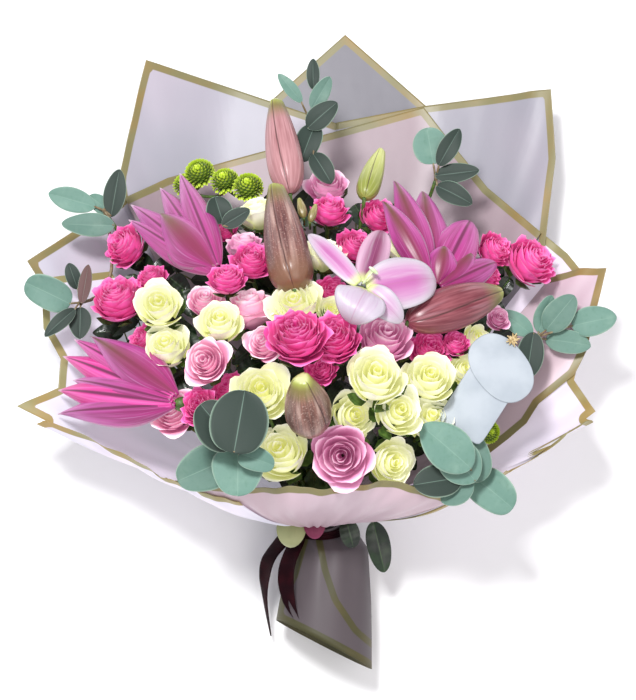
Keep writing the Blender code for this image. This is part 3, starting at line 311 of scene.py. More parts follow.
# Eucalyptus: the joint of the twigs, then leaves: right, up, half length, half width, turn, lift
SPRIGS = {
    "eucalyptus_left": [
        ((-212, 140, 20), [
            (-244, 150, 25, 11, 165, 24), (-201, 157, 25, 10, 80, 28), (-228, 125, 27, 11, 180, 20),
            (-216, 146, 14, 8, 140, 16)]),
        ((-236, 48, 0), [
            (-268, 57, 25, 17, 155, 12), (-243, 74, 14, 7, 110, 2), (-231, 66, 20, 6, 80, 18),
            (-256, 28, 21, 7, 225, 16), (-236, 27, 17, 10, 270, 4)])],
    "eucalyptus_front_left": [
        ((-81, -99, 23), [
            (-76, -74, 30, 28, 80, 28), (-97, -79, 26, 22, 130, 20), (-111, -119, 29, 22, 205, 20),
            (-78, -121, 24, 25, 270, 30), (-60, -109, 18, 12, 340, 36)])],
    "eucalyptus_front_right": [
        ((158, -126, 30), [
            (130, -99, 32, 19, 140, 20), (141, -110, 28, 18, 130, 28), (157, -108, 24, 18, 95, 36),
            (176, -141, 26, 20, 320, 54), (122, -131, 24, 15, 190, 34), (141, -141, 19, 12, 220, 46)])],
    "eucalyptus_right": [
        ((222, 14, 14), [
            (201, 28, 20, 9, 145, 6), (229, 36, 20, 9, 70, 10), (244, 37, 23, 13, 50, 16),
            (278, 29, 23, 14, 10, 14), (252, 8, 23, 11, 350, 8), (214, -6, 25, 12, 260, 12)])],
    "eucalyptus_back_right": [
        ((120, 172, 24), [
            (114, 204, 19, 18, 100, 36), (133, 203, 22, 9, 60, 44), (141, 177, 23, 9, 5, 34),
            (138, 156, 21, 10, 330, 28)])],
    "eucalyptus_back": [
        ((-2, 222, 34), [
            (-3, 276, 16, 6, 90, 52), (-26, 262, 19, 6, 130, 50), (5, 257, 19, 8, 60, 54),
            (6, 235, 20, 11, 40, 62), (-8, 208, 22, 12, 250, 58), (6, 182, 19, 10, 300, 34)])],
    "eucalyptus_behind_lily": [
        ((-86, 122, 6), [(-97, 140, 14, 13, 108, 30), (-80, 132, 16, 8, 30, 18)])],
}


def frame_along(direction, hint=UP):
    """Two unit vectors square to a direction, the first as near to the hint as it can be."""
    direction = direction.normalized()
    first = hint - direction * hint.dot(direction)
    if first.length < 1e-3:
        first = Vector((1.0, 0.0, 0.0)) - direction * direction.x
    first.normalize()
    return first, direction.cross(first)


def facing(place, outward=0.45):
    """The way a bloom looks: partly up, partly away from the neck."""
    away = (place - NECK).normalized()
    return (away * outward + UP * (1.0 - outward)).normalized()


def bezier(start, middle, end, share):
    rest = 1.0 - share
    return start * rest * rest + middle * 2.0 * share * rest + end * share * share


def curve_between(start, middle, end, steps):
    return [bezier(start, middle, end, step / (steps - 1)) for step in range(steps)]


def smooth_between(before, here, after, beyond, share):
    """A place part way between two of four places, on the smooth curve through them all."""
    return 0.5 * (
        2.0 * here + (after - before) * share
        + (2.0 * before - 5.0 * here + 4.0 * after - beyond) * share ** 2
        + (3.0 * here - before - 3.0 * after + beyond) * share ** 3)


def petal_fullness(share):
    """Width of a petal along its length, as a share of its widest."""
    return (0.12 + 0.88 * sin(pi * share ** 0.85)) * (1.0 - 0.3 * share ** 6)


# Settling: bodies are lists of balls, moved until no two bodies meet


def settle(bodies):
    """Push bodies apart, mostly in depth, so that each keeps its place on the plan."""
    owner = np.array([index for index, body in enumerate(bodies) for ball in body["balls"]])
    offset = np.array([tuple(ball) for body in bodies for ball, size in body["balls"]])
    size = np.array([size for body in bodies for ball, size in body["balls"]])
    group = np.array([body["group"] for body in bodies])[owner]
    ease, lateral = (np.array([body[key] for body in bodies]) for key in ("ease", "lateral"))
    place = np.array([tuple(body["place"]) for body in bodies])
    home = place.copy()
    kin = group[:, None] == group[None, :]
    need = (size[:, None] + size[None, :]) * np.where(kin, KIN_OVERLAP, 1.0) + np.where(kin, 0.0, BLOOM_GAP)
    pairs = np.triu(owner[:, None] != owner[None, :], 1)
    for turn in range(ROUNDS):
        balls = place[owner] + offset
        apart = balls[None, :, :] - balls[:, None, :]
        distance = np.linalg.norm(apart, axis=2)
        first, second = np.nonzero(pairs & (distance < need))
        if not len(first):
            break
        way = apart[first, second] / distance[first, second][:, None]
        lack = need[first, second] - distance[first, second]
        a, b = owner[first], owner[second]
        slide = np.maximum(lateral[a], lateral[b])
        push = way * np.stack([slide, slide, np.ones_like(slide)], axis=1)
        push[np.abs(push[:, 2]) < LEAST_RISE, 2] = LEAST_RISE
        push *= (lack / np.maximum(np.sum(push * way, axis=1), LEAST_GAIN))[:, None]
        push *= np.minimum(1.0, LONGEST_PUSH / np.linalg.norm(push, axis=1))[:, None]
        share = (ease[a] / (ease[a] + ease[b]))[:, None]
        move = np.zeros_like(place)
        hits = np.zeros(len(bodies))
        np.add.at(move, a, -push * share)
        np.add.at(move, b, push * (1.0 - share))
        np.add.at(hits, a, 1.0)
        np.add.at(hits, b, 1.0)
        place += FOLLOW * move / np.maximum(hits, 1.0)[:, None]
        place[:, :2] += HOMING * (home[:, :2] - place[:, :2])
        still = lateral == 0.0
        place[still, :2] = home[still, :2]
    for body, found in zip(bodies, place):
        body["place"] = Vector(found)


def body_of(group, place, balls, ease, lateral=0.25):
    return {"group": group, "place": place, "balls": balls, "ease": ease, "lateral": lateral}


def petal_ends(heart, petal):
    """Both ends of a lily petal, before settling."""
    height = mound(*heart[:2]) + heart[2]
    return spot(*petal[3:5], height), on_mound(*petal[:3])


def lily_balls(heart, petals, origin):
    """Balls along both sides of every petal of a lily, as offsets from its heart."""
    look = facing(origin, LILY_OUTWARD)
    balls = [(Vector(), LILY_HEART), (look * -12.0, 0.9 * LILY_HEART), (look * -22.0, 6.0)]
    for petal in petals:
        width, bow = petal[5:]
        base, tip = petal_ends(heart, petal)
        rise, side = frame_along(tip - base)
        middle = base.lerp(tip, 0.5) + rise * bow
        steps = ceil((tip - base).length / 12.0)
        for step in range(steps + 1):
            share = 0.04 + 0.92 * step / steps
            half = 0.5 * width * petal_fullness(share)
            centre = bezier(base, middle, tip, share)
            for offset in (-0.6, 0.6):
                balls.append((centre + side * half * offset - origin, max(0.42 * half, 3.0)))
    return balls


def leaf_frame(turn, tilt=LEAF_TILT):
    """The way a leaf points, its upper face and its side."""
    along = Vector((cos(turn) * cos(tilt), sin(turn) * cos(tilt), sin(tilt)))
    rise, side = frame_along(along)
    return along, rise, side


def bud_ends(row):
    """Base, tip and radius of a bud, before settling."""
    tip, base, radius = row
    return on_mound(*base), on_mound(*tip), radius


# The shares of a bud's radius that its balls have, from its base to its tip
BUD_BALLS = (0.35, 0.75, 0.98, 1.02, 1.0, 0.9, 0.72, 0.30)


def arrange():
    """Bodies of every bloom, lily, bud and leaf, settled clear of each other."""
    bodies = []
    for piece, kind, right, up, radius, lift in BLOOM_ROWS:
        place = on_mound(right, up, lift)
        bodies.append(body_of(piece, place, [(Vector(), radius * BLOOM_SCALE)], EASY))
    for name, (heart, petals) in LILIES.items():
        origin = on_mound(*heart)
        bodies.append(body_of(name, origin, lily_balls(heart, petals, origin), HEAVY))
    for name, row in BUDS.items():
        base, tip, radius = bud_ends(row)
        balls = [((tip - base) * (index / 7.0), radius * share) for index, share in enumerate(BUD_BALLS)]
        bodies.append(body_of(name, base, balls, HEAVY))
    for name, twigs in SPRIGS.items():
        for joint, leaves in twigs:
            bodies.append(body_of(name, on_mound(*joint), [(Vector(), LEAF_BALL)], JOINT_EASE, 0.0))
            for right, up, half_length, half_width, turn, lift in leaves:
                along, rise, side = leaf_frame(radians(turn))
                balls = [(Vector(), LEAF_BALL)]
                for share in (-0.75, 0.75):
                    balls.append((along * half_length * share, LEAF_BALL))
                    balls.append((side * half_width * share, LEAF_BALL))
                bodies.append(body_of(name, on_mound(right, up, lift), balls, EASY, 0.0))
    settle(bodies)
    return bodies


# The wrap: sheets lie on one flared surface, each a film's pitch inside the one before

# Nominal rim: angle round the neck from the back, right, up, height
RIM = [
    (0.0, 10, 300, -12),
    (30.0, 170, 262, 22),
    (55.0, 262, 150, 70),
    (80.0, 285, 30, 112),
    (96.0, 281, -63, 130),
    (108.0, 234, -97, 138),
    (121.0, 189, -127, 152),
    (136.0, 144, -150, 170),
    (155.0, 84, -136, 194),
    (180.0, 0, -141, 206),
    (205.0, -84, -140, 194),
    (222.0, -134, -134, 172),
    (236.0, -170, -118, 152),
    (248.0, -228, -92, 134),
    (260.0, -301, -57, 120),
    (282.0, -286, 60, 98),
    (310.0, -225, 175, 52),
    (335.0, -130, 270, 14),
]

# Places on the flared surface, worked out once: angle, reach, right, up
FLARE_GRID = []


def rim_point(angle):
    """A point of the nominal rim, by a closed smooth curve through RIM."""
    angle = angle % 360.0
    index = max(k for k, row in enumerate(RIM) if row[0] <= angle)
    count = len(RIM)
    here = RIM[index][0]
    after = RIM[(index + 1) % count][0] + (360.0 if index + 1 == count else 0.0)
    near = (spot(*RIM[(index + k) % count][1:]) for k in (-1, 0, 1, 2))
    return smooth_between(*near, (angle - here) / (after - here))


def neck_way(angle):
    """Unit vector out from the neck's axis at an angle round it."""
    turn = radians(angle)
    back = Vector((0.0, sin(NECK_LEAN), -cos(NECK_LEAN)))
    return back * cos(turn) + Vector((1.0, 0.0, 0.0)) * sin(turn)


def flare(angle, reach):
    """A point of the flared surface: reach 0 at the neck, 1 at the nominal rim."""
    way = neck_way(angle)
    start = NECK + way * NECK_RADIUS
    end = rim_point(angle)
    belly = FILM_BELLY + FILM_BACK_BELLY * max(0.0, cos(radians(angle))) ** 2
    middle = start.lerp(end, 0.5) + way * belly
    point = bezier(start, middle, end, reach)
    if point.z < FILM_LANDING:
        point.z = max(point.z + FILM_LANDING, 0.0) ** 2 / (4.0 * FILM_LANDING)
    return point


def nearest_on_flare(right, up):
    """The nearest of a coarse grid of places on the flared surface."""
    if not FLARE_GRID:
        for angle in range(0, 360, 6):
            for step in range(10):
                reach = 0.35 + 0.09 * step
                FLARE_GRID.append((angle, reach, *seen(flare(angle, reach))))
    best = min(FLARE_GRID, key=lambda row: hypot(row[2] - right, row[3] - up) + 12.0 * abs(row[1] - 0.85))
    return float(best[0]), best[1]


def on_flare(right, up):
    """Angle and reach of the place on the flared surface that shows at (right, up)."""
    angle, reach = nearest_on_flare(right, up)
    for turn in range(20):
        x, y = seen(flare(angle, reach))
        ax, ay = seen(flare(angle + 0.5, reach))
        rx, ry = seen(flare(angle, reach + 0.005))
        ax, ay = (ax - x) / 0.5, (ay - y) / 0.5
        rx, ry = (rx - x) / 0.005, (ry - y) / 0.005
        area = ax * ry - ay * rx
        if abs(area) < 1e-6:
            break
        dx, dy = right - x, up - y
        angle += min(max((dx * ry - dy * rx) / area, -6.0), 6.0)
        reach += min(max((ax * dy - ay * dx) / area, -0.1), 0.1)
        reach = min(max(reach, 0.2), 1.35)
    return angle, reach


def wrapped(angle, near):
    """The same angle, within half a turn of another."""
    return near + (angle - near + 180.0) % 360.0 - 180.0


# The foot: the gathered film under the tie, open at its cut end

# Sections: centre, half width, half height, lean of the section from upright, slant of its end
FOOT = [
    (NECK - NECK_AXIS * GAP, 36.0, 36.0, 50.0, 0.0),
    (Vector((2.0, -194.0, 50.0)), 33.0, 32.0, 38.0, 0.0),
    (Vector((13.0, -222.0, 44.5)), 42.0, 38.0, 10.0, 0.0),
    (Vector((11.0, -270.0, 43.8)), 46.0, 41.0, 0.0, -0.18),
    (Vector((8.0, -320.0, 43.4)), 49.0, 43.4, 0.0, -0.51),
]


def foot_place(section, less, angle):
    """A point of a section of the foot, at an angle from its top towards its right."""
    centre, width, height, lean, slant = section
    tip = radians(lean)
    upright = Vector((0.0, -sin(tip), cos(tip)))
    across = (width - less) * sin(angle)
    point = centre + Vector((across, 0.0, 0.0)) + upright * (height - less) * cos(angle)
    point.y += slant * across
    return point


def foot_between(position):
    """A foot section part way along FOOT, counted from its first section."""
    index = min(int(position), len(FOOT) - 2)
    share = position - index
    near, far = FOOT[index], FOOT[index + 1]
    values = [a + (b - a) * share for a, b in zip(near[1:], far[1:])]
    return (near[0].lerp(far[0], share), *values)


# Meshes of curved patches


class Patches:
    """Gathers patches for one mesh, with the shading values of their points."""

    def __init__(self):
        self.points = []
        self.faces = []
        self.slots = []
        self.values = {"along": [], "across": [], "tone": [], "edge": []}
        self.count = 0

    def add(self, grid, along=0.0, across=0.0, tone=0.0, edge=100.0, slot=0, closed=False):
        """A patch from a grid of points, rows by columns by three."""
        grid = np.asarray(grid, dtype=float)
        rows, columns = grid.shape[:2]
        index = self.count + np.arange(rows * columns).reshape(rows, columns)
        if closed:
            index = np.hstack([index, index[:, :1]])
        quads = np.stack([index[:-1, :-1], index[:-1, 1:], index[1:, 1:], index[1:, :-1]], axis=-1)
        self.faces.append(quads.reshape(-1, 4))
        self.slots.append(np.full(self.faces[-1].shape[0], slot))
        self.points.append(grid.reshape(-1, 3))
        for key, value in (("along", along), ("across", across), ("tone", tone), ("edge", edge)):
            self.values[key].append(np.broadcast_to(value, (rows, columns)).reshape(-1))
        self.count += rows * columns

    def build(self, name, makers, node=None, thickness=0.0):
        """The object of all patches, riding on the root and standing for a node."""
        mesh = bpy.data.meshes.new(name)
        points = np.concatenate(self.points) * MM
        mesh.from_pydata(points.tolist(), [], np.concatenate(self.faces).tolist())
        for key, parts in self.values.items():
            layer = mesh.attributes.new(key, "FLOAT", "POINT")
            layer.data.foreach_set("value", np.concatenate(parts).astype(np.float32))
        mesh.polygons.foreach_set("material_index", np.concatenate(self.slots).astype(np.int32))
        mesh.polygons.foreach_set("use_smooth", np.ones(len(mesh.polygons), dtype=bool))
        mesh.update()
        made = bpy.data.objects.new(name, mesh)
        bpy.context.scene.collection.objects.link(made)
        for maker in makers:
            mesh.materials.append(material_of(maker))
        if thickness > 0.0:
            solid = made.modifiers.new("Thickness", "SOLIDIFY")
            solid.thickness = thickness
            solid.offset = 0.0
        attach(made, "root")
        if node:
            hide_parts(node)
        return made


def array(*vectors):
    """Vectors as arrays of numbers."""
    return [np.array(tuple(vector)) for vector in vectors]


def add_tube(patches, path, sizes, sides=8, slot=0, tone=0.0):
    """A smooth tube through places, closed to a point at both ends."""
    path = [Vector(place) for place in path]
    rings = []
    first = Vector((0.31, 0.17, 0.94))
    for index, place in enumerate(path):
        way = path[min(index + 1, len(path) - 1)] - path[max(index - 1, 0)]
        first, second = frame_along(way, first)
        ring = []
        for side in range(sides):
            angle = 2.0 * pi * side / sides
            ring.append(tuple(place + (first * cos(angle) + second * sin(angle)) * sizes[index]))
        rings.append(ring)
    rings = [[tuple(path[0])] * sides] + rings + [[tuple(path[-1])] * sides]
    along = np.linspace(0.0, 1.0, len(rings))[:, None]
    patches.add(rings, along=along, tone=tone, slot=slot, closed=True)


def patch_places(columns, rows):
    """Places of the points of a patch: across it from -1 to 1, and along it from 0 to 1."""
    return np.linspace(-1.0, 1.0, columns)[None, :], np.linspace(0.0, 1.0, rows)[:, None]


def round_way(first, second, angle):
    """Ways out from an axis, for an array of angles that turn from the first way to the second."""
    return first * np.cos(angle)[..., None] + second * np.sin(angle)[..., None]


# Materials


def opaque(colour):
    """A colour with its alpha, from sRGB hex digits or from linear values."""
    return (*(linear(colour) if isinstance(colour, str) else tuple(colour)[:3]), 1.0)


class Skin:
    """One material, from its patterns to its surface, with constant values on the surface's sockets."""

    def __init__(self, name, **sockets):
        self.material = bpy.data.materials.new(name)
        self.material.use_nodes = True
        self.tree = self.material.node_tree
        self.surface = self.tree.nodes["Principled BSDF"]
        for key, value in sockets.items():
            self.surface.inputs[key.replace("_", " ")].default_value = value

    def add(self, kind, inputs=None, links=None, **settings):
        """A shader node with its settings, socket values and links."""
        made = self.tree.nodes.new(kind)
        for key, value in settings.items():
            setattr(made, key, value)
        for key, value in (inputs or {}).items():
            made.inputs[key].default_value = value
        for key, socket in (links or {}).items():
            self.tree.links.new(socket, made.inputs[key])
        return made

    def read(self, key):
        """A shading value that the mesh carries."""
        return self.add("ShaderNodeAttribute", attribute_name=key).outputs["Fac"]

    def margin(self):
        """How far a point of a petal or leaf lies from its rib: 0 there, 1 at its rim."""
        return self.add("ShaderNodeMath", links={0: self.read("across")}, operation="ABSOLUTE").outputs[0]

    def mix(self, factor, first, second, low=0.0, high=1.0):
        """Two colours, mixed as a value of the mesh or a pattern goes from low to high."""
        factor = self.read(factor) if isinstance(factor, str) else factor
        share = self.add(
            "ShaderNodeMapRange", {1: low, 2: high}, {0: factor}, interpolation_type="SMOOTHSTEP")
        mixed = self.add("ShaderNodeMix", links={0: share.outputs[0]}, data_type="RGBA")
        for index, colour in ((6, first), (7, second)):
            if isinstance(colour, bpy.types.NodeSocket):
                self.tree.links.new(colour, mixed.inputs[index])
            else:
                mixed.inputs[index].default_value = opaque(colour)
        return mixed.outputs[2]

    def grain(self, size_mm, detail=3.0):
        """Noise whose blotches are about this many millimetres across."""
        place = self.add("ShaderNodeTexCoord").outputs["Object"]
        noise = {"Scale": 1.0 / (size_mm * MM), "Detail": detail}
        return self.add("ShaderNodeTexNoise", noise, {"Vector": place}).outputs["Fac"]

    def ribs(self, count, key="across"):
        """Fine ribs: this many as the value goes from -1 to 1."""
        wide = self.add("ShaderNodeMath", {1: count * pi}, {0: self.read(key)}, operation="MULTIPLY")
        return self.add("ShaderNodeMath", links={0: wide.outputs[0]}, operation="SINE").outputs[0]

    def streaks(self, fine, slow, key="across"):
        """Noise drawn out lengthwise: fine sets how narrow the streaks are, slow how often they break."""
        place = self.add("ShaderNodeCombineXYZ", links={"X": self.read(key), "Y": self.read("along")})
        shape = self.add("ShaderNodeMapping", {"Scale": (fine, slow, 1.0)}, {"Vector": place.outputs[0]})
        noise = {"Scale": 1.0, "Detail": 3.0}
        return self.add("ShaderNodeTexNoise", noise, {"Vector": shape.outputs[0]}).outputs["Fac"]

    def finish(self, colour, heights=None, strength=0.0, depth_mm=0.0, light=0.0):
        """The material with its colour, a bump, and a painted glow of its own colour: an emission that
        stands in for light soaking through a thin petal or sheet from behind, and lifts its shade."""
        self.tree.links.new(colour, self.surface.inputs["Base Color"])
        # Painted light: the emission is a glow of the surface's own colour, not a lamp
        if light:
            self.tree.links.new(colour, self.surface.inputs["Emission Color"])
            self.surface.inputs["Emission Strength"].default_value = light
        if heights:
            shape = {"Strength": strength, "Distance": depth_mm * MM}
            bump = self.add("ShaderNodeBump", shape, {"Height": heights})
            self.tree.links.new(bump.outputs[0], self.surface.inputs["Normal"])
        return self.material


def petal_material(name, heart, face, edge, shade, roughness=0.55, light=0.17):
    """Matt velvety petals: soft sheen at the rims, which are paler, partly in their own colour and partly
    as a painted highlight; painted shade down in the cup; faint ribs.
    """
    skin = Skin(name, Roughness=roughness, Sheen_Weight=0.12, Sheen_Roughness=0.5)
    colour = skin.mix("tone", heart, face, 0.0, 0.55)
    # Painted shade: the shade colour fills the low part of each petal, down in the cup
    colour = skin.mix("along", shade, colour, 0.15, 0.80)
    # Paler rims: partly the petals' own colour, partly a painted highlight
    colour = skin.mix("along", colour, edge, 0.84, 1.0)
    colour = skin.mix(skin.grain(9.0), colour, shade, 0.62, 1.6)
    return skin.finish(colour, skin.streaks(9.0, 2.0), 0.35, 0.25, light)


def cream_petals():
    """Cream roses, butter yellow in their hearts and near white at their rims."""
    return petal_material("Cream rose petals, velvety", "ECEC9E", colours().cream, "FBFAEC", "DFE0A0")


def mauve_petals():
    """Dusky mauve roses with silvery pink rims."""
    return petal_material("Mauve rose petals, velvety", "CC74A6", colours().mauve, "EFCBDD", "B85C90")


def dusty_petals():
    """Pale pink roses that fade to white at their rims."""
    return petal_material("Pale pink rose petals, velvety", "E39CBE", "EEB4CC", "FBE2EC", "C9719E")


def hot_pink_petals():
    """Spray roses of a hot pink, with painted shade down between their many petals."""
    return petal_material(
        "Hot pink rose petals, velvety", "DC3294", colours().hot_pink, "F58CC8", "B01A6E", 0.5, 0.13)


def shaded_cream_petal():
    """A fallen cream petal under the rim, its colours darkened to dull olive as painted shade, with no
    glow.
    """
    return petal_material("Cream rose petal, painted shade", "8E9262", "A6AA7A", "BCC096", "7C8050", 0.6, 0.0)


def shaded_pink_petal():
    """A fallen pink petal under the rim, its colours darkened as painted shade, with no glow."""
    return petal_material("Pink rose petal, painted shade", "6A1C3E", "80264C", "963A62", "5A1434", 0.6, 0.0)


def green_rays():
    """Short fleshy rays, lime at their tips, with dark olive painted shade in the gaps between them."""
    return petal_material(
        "Button chrysanthemum rays", "C4E02C", "C4DE34", "E2F270", "4C680E", 0.6, 0.05)


def lily_petals():
    """Waxy thick petals: magenta at the base, paler towards the tip, a pale margin and fine veins."""
    skin = Skin("Pink lily petals, waxy", Roughness=0.38, Coat_Weight=0.12, Coat_Roughness=0.3)
    margin = skin.margin()
    colour = skin.mix("along", "A02070", colours().lily, 0.05, 0.75)
    colour = skin.mix("along", colour, "C07CB4", 0.55, 1.15)
    colour = skin.mix(skin.streaks(3.0, 1.3), colour, "7A2056", 0.38, 0.78)
    inner = skin.mix(skin.streaks(4.0, 1.0), "C0207C", "DC5CAA", 0.35, 0.75)
    colour = skin.mix("tone", inner, colour, -1.0, 0.0)
    colour = skin.mix(skin.streaks(11.0, 1.6), colour, "CC8CBE", 0.50, 0.92)
    colour = skin.mix(margin, "A0607E", colour, 0.0, 0.04)
    colour = skin.mix(margin, "6A1C4A", colour, 0.03, 0.14)
    colour = skin.mix(margin, colour, "E2BCD8", 0.86, 1.08)
    colour = skin.mix("along", colour, "EBD4E4", 0.92, 1.02)
    outer = skin.mix("along", "7C2448", "5E4A24", 0.30, 1.0)
    outer = skin.mix(margin, outer, colour, 0.08, 0.62)
    colour = skin.mix("tone", colour, outer, 0.3, 1.0)
    return skin.finish(colour, skin.streaks(12.0, 1.5), 0.4, 0.35, 0.08)


def open_lily_petals():
    """Waxy white petals flushed with pink along the rib, which shows as a soft groove."""
    skin = Skin("White and pink lily petals, waxy", Roughness=0.4, Coat_Weight=0.1, Coat_Roughness=0.3)
    margin = skin.margin()
    flush = skin.mix(margin, "B0609C", "BC86B0", 0.0, 0.55)
    flush = skin.mix(margin, flush, "BDB6BF", 0.42, 1.0)
    flush = skin.mix("along", flush, "C2BBC4", 0.55, 1.05)
    deep = skin.mix(margin, "7A2A56", "C79CB4", 0.10, 0.85)
    colour = skin.mix("tone", deep, flush, 0.0, 0.2)
    colour = skin.mix("tone", colour, "B9B2BE", 0.40, 0.95)
    colour = skin.mix(skin.streaks(10.0, 1.4), colour, "A86AA4", 0.48, 1.05)
    colour = skin.mix(skin.streaks(3.0, 1.0), colour, "D0C6D2", 0.50, 1.0)
    colour = skin.mix(margin, "A8688E", colour, -0.05, 0.05)
    colour = skin.mix("along", "C4CC88", colour, 0.02, 0.16)
    return skin.finish(colour, skin.streaks(12.0, 1.5), 0.4, 0.35, 0.015)


def bud_skin():
    """A closed lily bud: waxy brown-pink skin with a pale bloom, dark seams and green tips."""
    skin = Skin("Lily bud skin, waxy", Roughness=0.34, Coat_Weight=0.2, Coat_Roughness=0.3)
    colour = skin.mix(skin.streaks(8.0, 3.0, "edge"), "552C2C", "8A5C54", 0.35, 0.70)
    colour = skin.mix("edge", "4A2626", colour, -0.1, 0.45)
    colour = skin.mix(skin.streaks(2.0, 1.2, "edge"), colour, "C6A89E", 0.42, 0.78)
    colour = skin.mix(skin.grain(1.6), colour, "D4BCB0", 0.52, 0.95)
    colour = skin.mix("along", "7A5640", colour, 0.0, 0.35)
    rosy = skin.mix(skin.streaks(7.0, 2.5, "edge"), "6C2834", "925058", 0.35, 0.70)
    rosy = skin.mix(skin.streaks(2.0, 1.2, "edge"), rosy, "B88C96", 0.50, 0.85)
    # Painted light: a paler copy of the rosy skin, for a bud that the light washes out
    pale = skin.mix(skin.streaks(7.0, 2.5, "edge"), "B07E80", "CC9EA0", 0.30, 0.70)
    rosy = skin.mix("tone", pale, rosy, -2.0, -1.0)
    colour = skin.mix("tone", rosy, colour, -1.0, 0.0)
    colour = skin.mix("along", colour, "766A38", 0.70, 0.92)
    colour = skin.mix("along", colour, "9AA04A", 0.88, 0.98)
    green = skin.mix("along", "868E3A", "BEC468", 0.1, 0.9)
    green = skin.mix(skin.streaks(5.0, 2.0, "edge"), green, "D2D29C", 0.45, 0.85)
    colour = skin.mix("tone", colour, green, 0.0, 1.0)
    colour = skin.mix("across", colour, "43211F", 0.35, 1.0)
    colour = skin.mix("along", colour, "C9CC90", 0.962, 0.99)
    return skin.finish(colour, skin.streaks(16.0, 5.0, "edge"), 0.35, 0.3)


def eucalyptus_leaf():
    """A matt leathery leaf under a blue-white bloom of wax, with a faint rib and a paler rim."""
    skin = Skin("Eucalyptus leaf, waxed", Roughness=0.62, Sheen_Weight=0.1)
    margin = skin.margin()
    colour = skin.mix(skin.grain(18.0), colours().eucalyptus, "8AA898", 0.45, 1.10)
    colour = skin.mix(skin.grain(5.0), colour, "48745E", 0.50, 1.10)
    colour = skin.mix(skin.ribs(7.0, "along"), colour, "86A494", 0.80, 2.2)
    # Painted shade: leaves of tone near one darken almost to black green, for leaves in shadow; smaller
    # tones vary the rest a little
    colour = skin.mix("tone", colour, "1E3028", -0.1, 1.0)
    colour = skin.mix("tone", colour, "5E4240", 1.2, 1.8)
    colour = skin.mix(margin, "88A898", colour, -0.04, 0.04)
    colour = skin.mix(margin, colour, "A2BCA8", 0.90, 1.05)
    return skin.finish(colour, skin.grain(3.0), 0.3, 0.2)


def shaded_rose_leaf():
    """A glossy rose leaf, with its rib and side veins, its green darkened almost to black as painted shade
    for the gaps between the blooms and under the rim.
    """
    skin = Skin("Rose leaf, glossy", Roughness=0.4, Coat_Weight=0.1)
    colour = skin.mix(skin.grain(12.0), "101E12", "1E3619", 0.3, 0.75)
    colour = skin.mix(skin.margin(), "34502A", colour, 0.0, 0.07)
    return skin.finish(colour, skin.ribs(14.0, "along"), 0.4, 0.3)


def mottled(name, first, second, blotch_mm, high=0.7, tooth=None, detail=3.0, **sockets):
    """Two near colours in soft blotches, over a fine tooth: its size, strength and depth."""
    skin = Skin(name, **sockets)
    colour = skin.mix(skin.grain(blotch_mm, detail), first, second, 0.3, high)
    if tooth:
        return skin.finish(colour, skin.grain(tooth[0]), *tooth[1:])
    return skin.finish(colour)


def green_stem():
    """Living stems and sepals: green skin with a darker mottle."""
    return mottled(
        "Green stem skin", "36521F", "5E7C38", 6.0, 0.75, (1.5, 0.2, 0.15),
        Roughness=0.5, Subsurface_Weight=0.05)


def brown_twig():
    """The thin reddish twigs of the eucalyptus."""
    return mottled("Eucalyptus twig bark", "6E5A3E", "93876A", 4.0, 0.75, (1.2, 0.3, 0.2), Roughness=0.6)


def card_stock():
    """Smooth white card with a faint tooth."""
    return mottled(
        "White card stock, pressed", "9AA3AC", "A9B1B9", 30.0, 0.7, (0.8, 0.15, 0.05), Roughness=0.5)


def dried_clip():
    """A small wreath of dried seed heads, straw coloured."""
    return mottled("Dried seed heads", "A89060", "D8C49A", 2.0, Roughness=0.8)


def anther():
    """Dusty brown pollen on the lilies' stamens."""
    return mottled("Lily anther, dusty", "3A2A2C", "6A5450", 2.0, Roughness=0.8)


def pale_filament():
    """Smooth pale green stalks of the stamens."""
    return mottled(
        "Lily filament, smooth", "C9D69A", "E2DCC8", 5.0, Roughness=0.4, Subsurface_Weight=0.2)


def pale_floor():
    """A plain pale studio floor."""
    return mottled("Pale studio floor", "F4F4F5", "F7F7F7", 900.0, detail=1.0, Roughness=0.85)


def film_material(name, face, warm, gold, warm_gold, painted_shade_colour, roughness=0.42):
    """Frosted florist's film: a satin plastic with a printed gold border, with painted shade that darkens
    the back sheets, and a painted glow that brightens the front sheets that lie in shade."""
    skin = Skin(name, Roughness=roughness, Coat_Weight=0.05, Coat_Roughness=0.25)
    border = sizes().film_border / MM
    print_colour = skin.mix(skin.grain(60.0), gold, warm_gold, 0.40, 0.75)
    colour = skin.mix(skin.grain(130.0, 1.0), face, warm, 0.35, 0.75)
    # Painted shade: a tone below one blends in the darker colour, darkest on the back sheets
    colour = skin.mix("tone", painted_shade_colour, colour, -1.0, 1.0)
    colour = skin.mix("edge", print_colour, colour, border - 0.5, border + 0.5)
    # Painted light: a tone from one to two makes the sheet glow, brightening the low front sheets that lie
    # in shade
    glow = skin.add(
        "ShaderNodeMapRange", {"From Min": 1.0, "From Max": 2.0, "To Min": 0.05, "To Max": 0.75},
        {"Value": skin.read("tone")})
    skin.tree.links.new(glow.outputs[0], skin.surface.inputs["Emission Strength"])
    return skin.finish(colour, skin.grain(45.0, 2.0), 0.5, 1.2, 0.05)


def lilac_film():
    """Lilac-white film, cool and a little grey."""
    return film_material(
        "Lilac frosted film", colours().lilac_film, "CDC2D0", colours().gold, "8E7440", "6E6C74")


def pink_film():
    """Pale pink film, warmer than the lilac."""
    return film_material(
        "Pink frosted film", colours().pink_film, "DEC6D2", colours().gold, "8E7440", "7C6E74")


def foot_film():
    """The film of the foot, its colours darkened and warmed as painted shade for the bouquet's shadow over
    it.
    """
    return film_material("Gathered frosted film, painted shade", "443C40", "443C40", "3A3818", "4C441E", "50474B", 0.6)


